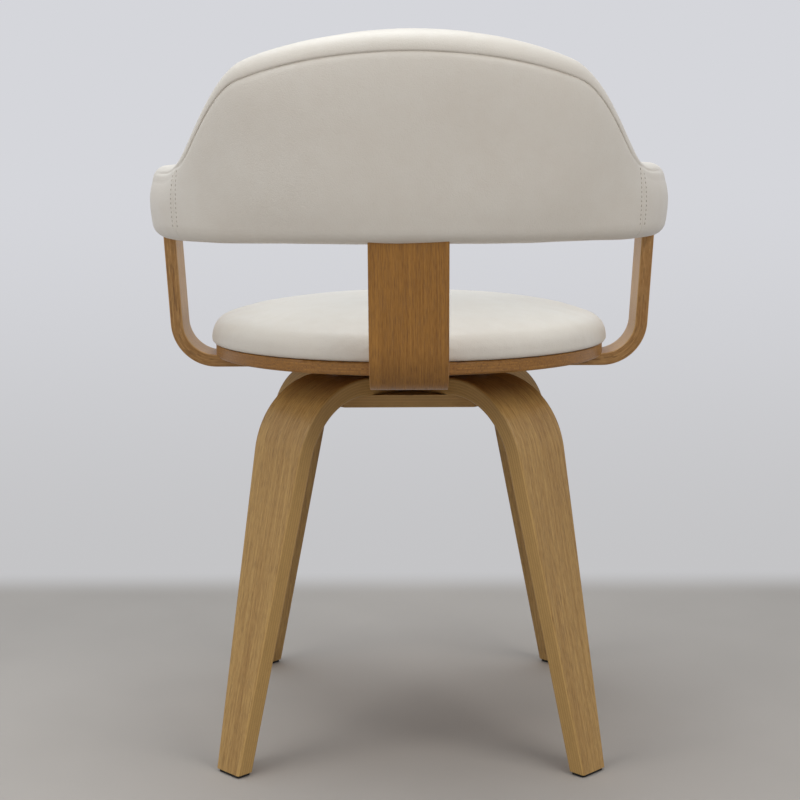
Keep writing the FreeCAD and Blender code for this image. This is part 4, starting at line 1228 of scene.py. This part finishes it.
    def height(self, turn: np.ndarray) -> np.ndarray:
        """Height of the back up its leaning face: a gently crowned crest that falls in an S to the wings.

        Args:
            turn: Turns from the rear.

        Returns:
            Heights.
        """
        crown = 1 - self.crown_share * (turn / (math.pi / 4)) ** 2
        rise = self.wing + (self.crest - self.wing) * crown * self.crest_end.fall(turn)
        return rise / self.frames(turn)[1][..., 2]

    def edge_round(self, turn: np.ndarray) -> np.ndarray:
        """Rounding of the top edge, generous at the crest and tighter at the wings."""
        return self.wing_round + (self.crest_round - self.wing_round) * self.round_change.fall(turn)

    def tilted(self, turn: np.ndarray, rise: np.ndarray) -> np.ndarray:
        """Turns once the upright seams lean in as they rise: less the tilt times the rise, up to the wing's top.

        The whole tilt acts near a seam and fades out to both sides of it, so the rest stays.

        Args:
            turn: Turns from the rear.
            rise: Rises up the face.

        Returns:
            The tilted turns.
        """
        near = self.tilt_fade.fall(np.abs(turn) - self.seam_turn)
        return turn - np.sign(turn) * self.seam_tilt * np.minimum(rise, self.seam_top) * near

    def surface(self) -> np.ndarray:
        """Places on the back's outside, by station and round the section, with seams and soft crowns.

        A point is its station's place, plus its rise up the face, less its depth, with what lies off the middle
        swung round at the wings' ends. It then moves out of the surface by the padding's crown and unevenness,
        and in by the seams. A tilted turn has its own height, which the tilt depends on, so both are found in
        a few rounds.

        Returns:
            An array of stations by section points by three.
        """
        depth, round_depth, low_rise, round_rise, tall_rise, depth_way, rise_way = self.shares
        turn = self.turn[:, None]
        for _ in range(4):
            rise = low_rise + round_rise * self.edge_round(turn) + tall_rise * self.height(turn)
            turn = self.tilted(self.turn[:, None], rise)
        tall, rounding = self.height(turn), self.edge_round(turn)
        off = self.thickness / 2 - depth - round_depth * rounding
        place, up, out = self.frames(turn)
        place = place - np.outer(self.forward, (0.0, 1.0, 0.0))[:, None]
        ahead = np.array([0.0, -1.0, 0.0])
        cosine, sine = np.cos(self.swing)[:, None], np.sin(self.swing)[:, None]
        middle = place + up * rise[..., None] - out * (self.thickness / 2)
        points = middle + out * (off * cosine)[..., None] + ahead * (np.abs(off) * sine)[..., None]
        side = np.where(off >= 0, 1.0, -1.0)
        swung = out * (side * cosine)[..., None] + ahead * np.broadcast_to(sine, off.shape)[..., None]
        normal = swung * (np.abs(depth_way))[None, :, None] + up * rise_way[None, :, None]
        lift = self.crowns(turn) * cosine + self.unevenness(points) - self.seams(turn, rise, tall, rounding)
        return points + normal * lift[..., None]

    def crowns(self, turn: np.ndarray) -> np.ndarray:
        """Fullness of the padding: a broad crown up the outer side and a half sine up the inner one.

        Args:
            turn: Turn of each place.

        Returns:
            How far each place stands out.
        """
        lift = np.zeros_like(turn)
        lift[:, self.side] = self.bulge(turn[:, self.side], self.side_share)
        lift[:, self.arc_low] = self.sway(turn[:, self.arc_low], 0.0) * np.sin(self.low_angle)
        over = turn[:, self.arc_top]
        lift[:, self.arc_top] = self.sway_over(over, self.top_angle, self.edge_round(over))
        fuller = self.fullness.fall(turn[:, self.inner])
        lift[:, self.inner] = np.sin(math.pi * self.inner_share) * (self.inner_swell + self.inner_dome * fuller)
        return lift

    def unevenness(self, points: np.ndarray) -> np.ndarray:
        """Slow waves of under half a millimetre over the padding."""
        return ripple(points, 0.13, 11) * 0.00045 + ripple(points, 0.05, 12) * 0.00012

    def bulge(self, turn: np.ndarray, share: np.ndarray) -> np.ndarray:
        """How far the outer side's padding stands out, flat in the middle and falling off to both edges.

        Args:
            turn: Turns from the rear.
            share: Shares of the way up the side, from its bottom rounding to its top one.

        Returns:
            Heights over the plain side.
        """
        flat = 1 - np.abs(2 * share - 1) ** self.dome_power
        return flat * self.dome * self.dome_fade.fall(turn) + self.sway(turn, share)

    def sway(self, turn: np.ndarray, share: Union[float, np.ndarray]) -> np.ndarray:
        """How far a wing's side stands out: a cubic of the share, full in its lower half, drawn in at the top.

        Args:
            turn: Turns from the rear.
            share: Shares of the way up the side.

        Returns:
            Heights over the plain side.
        """
        return self.fullness.rise(turn) * np.polyval(self.sway_terms, share)

    def sway_over(self, turn: np.ndarray, angle: np.ndarray, rounding: np.ndarray) -> np.ndarray:
        """How the sway goes on over the top rounding: on at its slope, then back, and nothing at the top.

        Args:
            turn: Turns from the rear.
            angle: Angles up the rounding.
            rounding: The rounding.

        Returns:
            Heights over the plain rounding.
        """
        slope = self.sway_slope * self.fullness.rise(turn) * np.exp(-angle / self.sway_reach)
        return (self.sway(turn, 1.0) - slope * rounding * angle) * np.cos(angle)

    def seams(self, turn: np.ndarray, rise: np.ndarray, tall: np.ndarray, rounding: np.ndarray) -> np.ndarray:
        """How far the seams draw the cover in.

        One seam runs the whole length where the outer side meets the top rounding, climbs on to the rounding
        towards the wings and fades out on them. Two more run up the outer side at the seam turn and fade out
        under the bottom edge.

        Args:
            turn: Turn of each place.
            rise: Rise of each place.
            tall: Height of the back there.
            rounding: Top rounding there.

        Returns:
            Depth of each place.
        """
        climb = self.seam_climb * self.climb_run.rise(turn)
        bend = rounding[:, self.arc_top] * self.top_angle
        below = np.ones_like(rise)
        for part in (self.side, self.arc_low):
            below[:, part] = (tall - rounding - rise + climb)[:, part]
        below[:, self.arc_top] = climb[:, self.arc_top] - bend
        along = np.broadcast_to(self.along[:, None], rise.shape)
        top = self.seam.drawn_in(below, along) * self.seam_fade.fall(turn)
        speed = np.hypot(self.half_width * np.cos(self.turn), self.reach * np.sin(self.turn))
        beside = ((np.abs(self.turn) - self.seam_turn) * speed)[:, None]
        upright = self.seam.drawn_in(-np.abs(np.broadcast_to(beside, rise.shape)), rise)
        reach = np.zeros_like(rise)
        reach[:, self.side] = 1.0
        reach[:, self.arc_low] = smooth_step(self.low_angle / (math.pi / 2))
        past = np.maximum(bend - climb[:, self.arc_top], 0.0)
        reach[:, self.arc_top] = np.exp(-(past / 0.0012) ** 2)
        return np.maximum(top, self.upright_share * upright * reach)

    def build(self, frame: dict, finishes: Finishes) -> list[bpy.types.Object]:
        """Make the front cover and the rear panel from one surface, and set them in place.

        Args:
            frame: What the frame loader returned. Not used.
            finishes: The shared finishes.

        Returns:
            The two covers.
        """
        points = self.surface()
        rows, columns = points.shape[:2]
        quads = grid_faces(rows, columns, True)
        row, column = quads[:, 0] // columns, quads[:, 0] % columns
        middle = (self.turn[row] + self.turn[np.minimum(row + 1, rows - 1)]) / 2
        rear = (column < self.side.stop) & (np.abs(middle) < self.seam_turn)
        front = make_piece("back_cover_front", points, quads[~rear], finishes.cover, weld=WELD)
        panel = make_piece("back_cover_rear", points, quads[rear], finishes.cover)
        self.face_out(panel.data)
        for piece in (front, panel):
            wall = piece.modifiers.new("wall", "SOLIDIFY")
            wall.thickness, wall.offset = COVER, -1.0
            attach(piece, "seat")
            log.info("%s made of %d faces", piece.name, len(piece.data.polygons))
        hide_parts("back_front_cover", "back_front_padding")
        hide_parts("back_rear_cover", "back_rear_padding")
        return [front, panel]

    def face_out(self, mesh: bpy.types.Mesh) -> None:
        """Turn an open panel over if its faces look into the padding.

        Args:
            mesh: The panel's mesh.
        """
        faces = len(mesh.polygons)
        normals, centres = np.empty(faces * 3, np.float32), np.empty(faces * 3, np.float32)
        mesh.polygons.foreach_get("normal", normals)
        mesh.polygons.foreach_get("center", centres)
        away = centres.reshape(-1, 3) - np.array([0.0, self.centre, self.bottom])
        if (normals.reshape(-1, 3)[:, :2] * away[:, :2]).sum() < 0:
            mesh.flip_normals()
            mesh.update()

    def beside_seam(self, turn: np.ndarray, rise: np.ndarray, beside: float) -> np.ndarray:
        """Places on the padded outer side, beside an upright seam.

        Args:
            turn: Turns from the rear.
            rise: Rises up the side.
            beside: Distance from the seam.

        Returns:
            The places.
        """
        turn = self.tilted(turn, rise)
        place, up, out = self.frames(turn)
        rounding = self.edge_round(turn)
        edge = self.height(turn) - rounding
        angle = np.maximum(rise - edge, 0.0) / rounding
        share = np.minimum((rise - self.bottom_round) / (edge - self.bottom_round), 1.0)
        plain = place + up * (np.minimum(rise, edge) + rounding * np.sin(angle))[:, None]
        plain = plain - out * (rounding * (1 - np.cos(angle)))[:, None]
        bulge = np.where(angle > 0, self.sway_over(turn, angle, rounding), self.bulge(turn, share))
        lift = bulge + self.unevenness(plain)
        lift -= self.upright_share * self.seam.drawn_in(np.full_like(rise, -beside), rise)
        return plain + (out * np.cos(angle)[:, None] + up * np.sin(angle)[:, None]) * lift[:, None]


@dataclass
class Stitching:
    """Two rows of stitches beside each upright seam of the back."""

    back: Upholstery
    offset: float = 0.0050
    pitch: float = 0.0044
    length: float = 0.0034
    thick: float = 0.00036
    arch: float = 0.0007
    sunk: float = 0.0005
    past_edge: float = 0.006

    def rows(self) -> tuple[np.ndarray, np.ndarray, np.ndarray]:
        """Middle, way along and way out of every stitch.

        Returns:
            Three arrays of vectors.
        """
        back = self.back
        parts = []
        for side in Side:
            speed = math.hypot(back.half_width * math.cos(back.seam_turn), back.reach * math.sin(back.seam_turn))
            for shift in (-self.offset, self.offset):
                turn = side.value * (back.seam_turn + shift / speed)
                tall = float(back.height(np.array([turn]))[0] - back.edge_round(np.array([turn]))[0])
                rise = np.arange(back.bottom_round, tall + self.past_edge, self.pitch)
                turns = np.full_like(rise, turn)
                middle = back.beside_seam(turns, rise, self.offset)
                way = np.gradient(middle, axis=0)
                out = back.frames(back.tilted(turns, rise))[2]
                parts.append((middle, way / np.linalg.norm(way, axis=1, keepdims=True), out))
        return tuple(np.concatenate(column) for column in zip(*parts))

    def build(self, finishes: Finishes) -> bpy.types.Object:
        """Lay every stitch as a short thread that dives in at both ends.

        A stitch is a tube round a low arch: along it the middle line rises as a half sine and the tube narrows
        to nothing at the ends.

        Args:
            finishes: The shared finishes.

        Returns:
            All stitches as one piece.
        """
        middle, up, out = self.rows()
        share = np.linspace(-1.0, 1.0, 7)
        angle = np.linspace(0.0, 2 * math.pi, 6, endpoint=False)
        thin = np.sqrt(np.clip(1.03 - share ** 2, 0.03, 1.0))
        beside = np.cross(up, out)
        line = middle[:, None] + up[:, None] * (share * self.length / 2)[None, :, None]
        line = line + out[:, None] * (np.cos(share * math.pi / 2) * self.arch - self.sunk)[None, :, None]
        ring = (beside[:, None, None] * np.cos(angle)[None, None, :, None]
                + out[:, None, None] * np.sin(angle)[None, None, :, None])
        points = line[:, :, None] + ring * (thin * self.thick)[None, :, None, None]
        tube = grid_faces(len(share), len(angle), True)
        count = len(share) * len(angle)
        quads = (tube[None] + (np.arange(len(middle)) * count)[:, None, None]).reshape(-1, 4)
        piece = make_piece("seam_stitches", points, quads, finishes.thread)
        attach(piece, "seat")
        log.info("%s holds %d stitches", piece.name, len(middle))
        return piece


# The studio


@dataclass(frozen=True)
class Lamp:
    """A square soft box of a size in metres and a power in watts, aimed at the seat."""

    name: str
    place: tuple[float, float, float]
    size: float
    power: float
    tint: Colour
    aim: tuple[float, float, float] = (0.0, 0.0, 0.4)

    def hang(self) -> None:
        """Add the lamp to the scene, with its back turned away from what it lights."""
        data = bpy.data.lights.new(self.name, "AREA")
        data.size, data.energy, data.color = self.size, self.power, self.tint
        lamp = bpy.data.objects.new(self.name, data)
        bpy.context.scene.collection.objects.link(lamp)
        away = Vector(self.place) - Vector(self.aim)
        lamp.matrix_world = Matrix.Translation(self.place) @ away.to_track_quat("Z", "Y").to_matrix().to_4x4()


@dataclass
class Studio:
    """Plain pale floor, soft light and the camera behind the chair."""

    distance: float = 1.71183
    height: float = 0.60975
    pitch: float = 0.14688
    yaw: float = -0.00591
    roll: float = 0.00503
    focal_pixels: float = 1576.07
    frame_pixels: float = 800.0
    sensor: float = 36.0
    backdrop: Colour = paint(213, 214, 219)
    # Darker grey toward the backdrop's foot, as painted shade
    shaded_wall_foot: Colour = paint(196, 196, 198)
    wall: tuple[float, float] = (0.49, 0.63)
    far: tuple[float, float] = (1.3, 2.4)
    floor_size: float = 40.0
    floor_drop: float = 0.0002
    floor_dark: Colour = paint(175, 170, 165)
    floor_light: Colour = paint(181, 176, 171)
    sky: Colour = paint(240, 242, 246)
    sky_strength: float = 0.25
    lamps: tuple[Lamp, ...] = (
        Lamp("ceiling_box", (0.3, -0.1, 2.7), 2.2, 39.0, (0.95, 1.0, 1.03)),
        Lamp("window_box", (-1.7, 1.7, 2.0), 1.5, 26.4, (1.0, 0.965, 0.92)),
        Lamp("fill_box", (1.9, 1.6, 1.7), 1.5, 21.2, (1.0, 0.965, 0.92)))

    def camera(self) -> None:
        """Stand the camera behind the chair, looking forward and a little down."""
        data = bpy.data.cameras.new("camera")
        data.lens = self.focal_pixels * self.sensor / self.frame_pixels
        data.sensor_width = self.sensor
        data.clip_start, data.clip_end = 0.05, 60.0
        camera = bpy.data.objects.new("camera", data)
        bpy.context.scene.collection.objects.link(camera)
        turn = Matrix.Rotation(math.pi - self.yaw, 4, "Z") @ Matrix.Rotation(math.pi / 2 - self.pitch, 4, "X")
        turn = turn @ Matrix.Rotation(-self.roll, 4, "Z")
        camera.matrix_world = Matrix.Translation((0.0, self.distance, self.height)) @ turn
        bpy.context.scene.camera = camera

    def floor(self) -> None:
        """A wide floor just under the feet, which fades into the backdrop in front of the chair and far out.

        The far part glows with the backdrop's own colour, and darkens where it is nearer as a painted shade like
        that at a wall's foot, by its place alone, so that floor and backdrop meet without a line.
        """
        corners = np.array([[-1, -1, 0], [1, -1, 0], [1, 1, 0], [-1, 1, 0]]) * self.floor_size
        corners[:, 2] = -self.floor_drop
        shader = Shader("pale_floor")
        x, y, _ = shader.place()
        cloud = shader.noise(x * 3.0, y * 3.0, 0.0, 3.0)
        colour = shader.mix(cloud.step(0.3, 0.7), self.floor_dark, self.floor_light)
        near = shader.node("ShaderNodeBsdfPrincipled", {}, {"Base Color": colour, "Roughness": 0.75})
        radius = (x * x + y * y).math("SQRT")
        steep = (self.distance - y).math("MAXIMUM", radius).math("POWER", -1.0) * self.height
        # Painted shade: where the camera looks down more steeply, the glowing far floor darkens from the
        # backdrop's colour
        tone = shader.mix(steep.step(0.0, 0.27), self.backdrop, self.shaded_wall_foot)
        far = shader.node("ShaderNodeEmission", {}, {"Color": tone, "Strength": 1.0})
        share = (-1.0 * y).step(*self.wall).math("MAXIMUM", radius.step(*self.far))
        both = shader.node(
            "ShaderNodeMixShader", {}, {0: share * shader.seen(), 1: near.outputs[0], 2: far.outputs[0]})
        shader.node("ShaderNodeOutputMaterial", {}, {"Surface": both.outputs[0]})
        floor = make_piece("floor", corners, np.array([[0, 1, 2, 3]]), shader.owner)

    def world(self) -> None:
        """Even pale light all round, which the camera, gloss and glass see as the backdrop's colour."""
        shader = Shader("studio", bpy.data.worlds)
        light = shader.node(
            "ShaderNodeBackground", {}, {"Color": (*self.sky, 1.0), "Strength": self.sky_strength})
        shown = shader.node("ShaderNodeBackground", {}, {"Color": (*self.backdrop, 1.0)})
        choice = shader.node(
            "ShaderNodeMixShader", {}, {0: shader.seen(), 1: light.outputs[0], 2: shown.outputs[0]})
        shader.node("ShaderNodeOutputWorld", {}, {"Surface": choice.outputs[0]})
        bpy.context.scene.world = shader.owner

    def build(self) -> None:
        """Set up the camera, the floor and the light."""
        bpy.context.scene.view_settings.view_transform = "Standard"
        self.camera()
        self.floor()
        self.world()
        for lamp in self.lamps:
            lamp.hang()
        log.info("studio is lit by %d lamps", len(self.lamps))


def main() -> None:
    """Load the frame, set up the studio and build the chair's sub-assemblies in order."""
    logging.basicConfig(level=logging.INFO, format="%(name)s: %(message)s")
    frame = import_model()
    Studio().build()
    finishes = Finishes()
    Base().build(frame, finishes)
    Swivel().build(frame, finishes)
    Frame().build(frame, finishes)
    SeatCushion().build(frame, finishes)
    back = Upholstery()
    back.build(frame, finishes)
    Stitching(back).build(finishes)


if __name__ == "__main__":
    main()
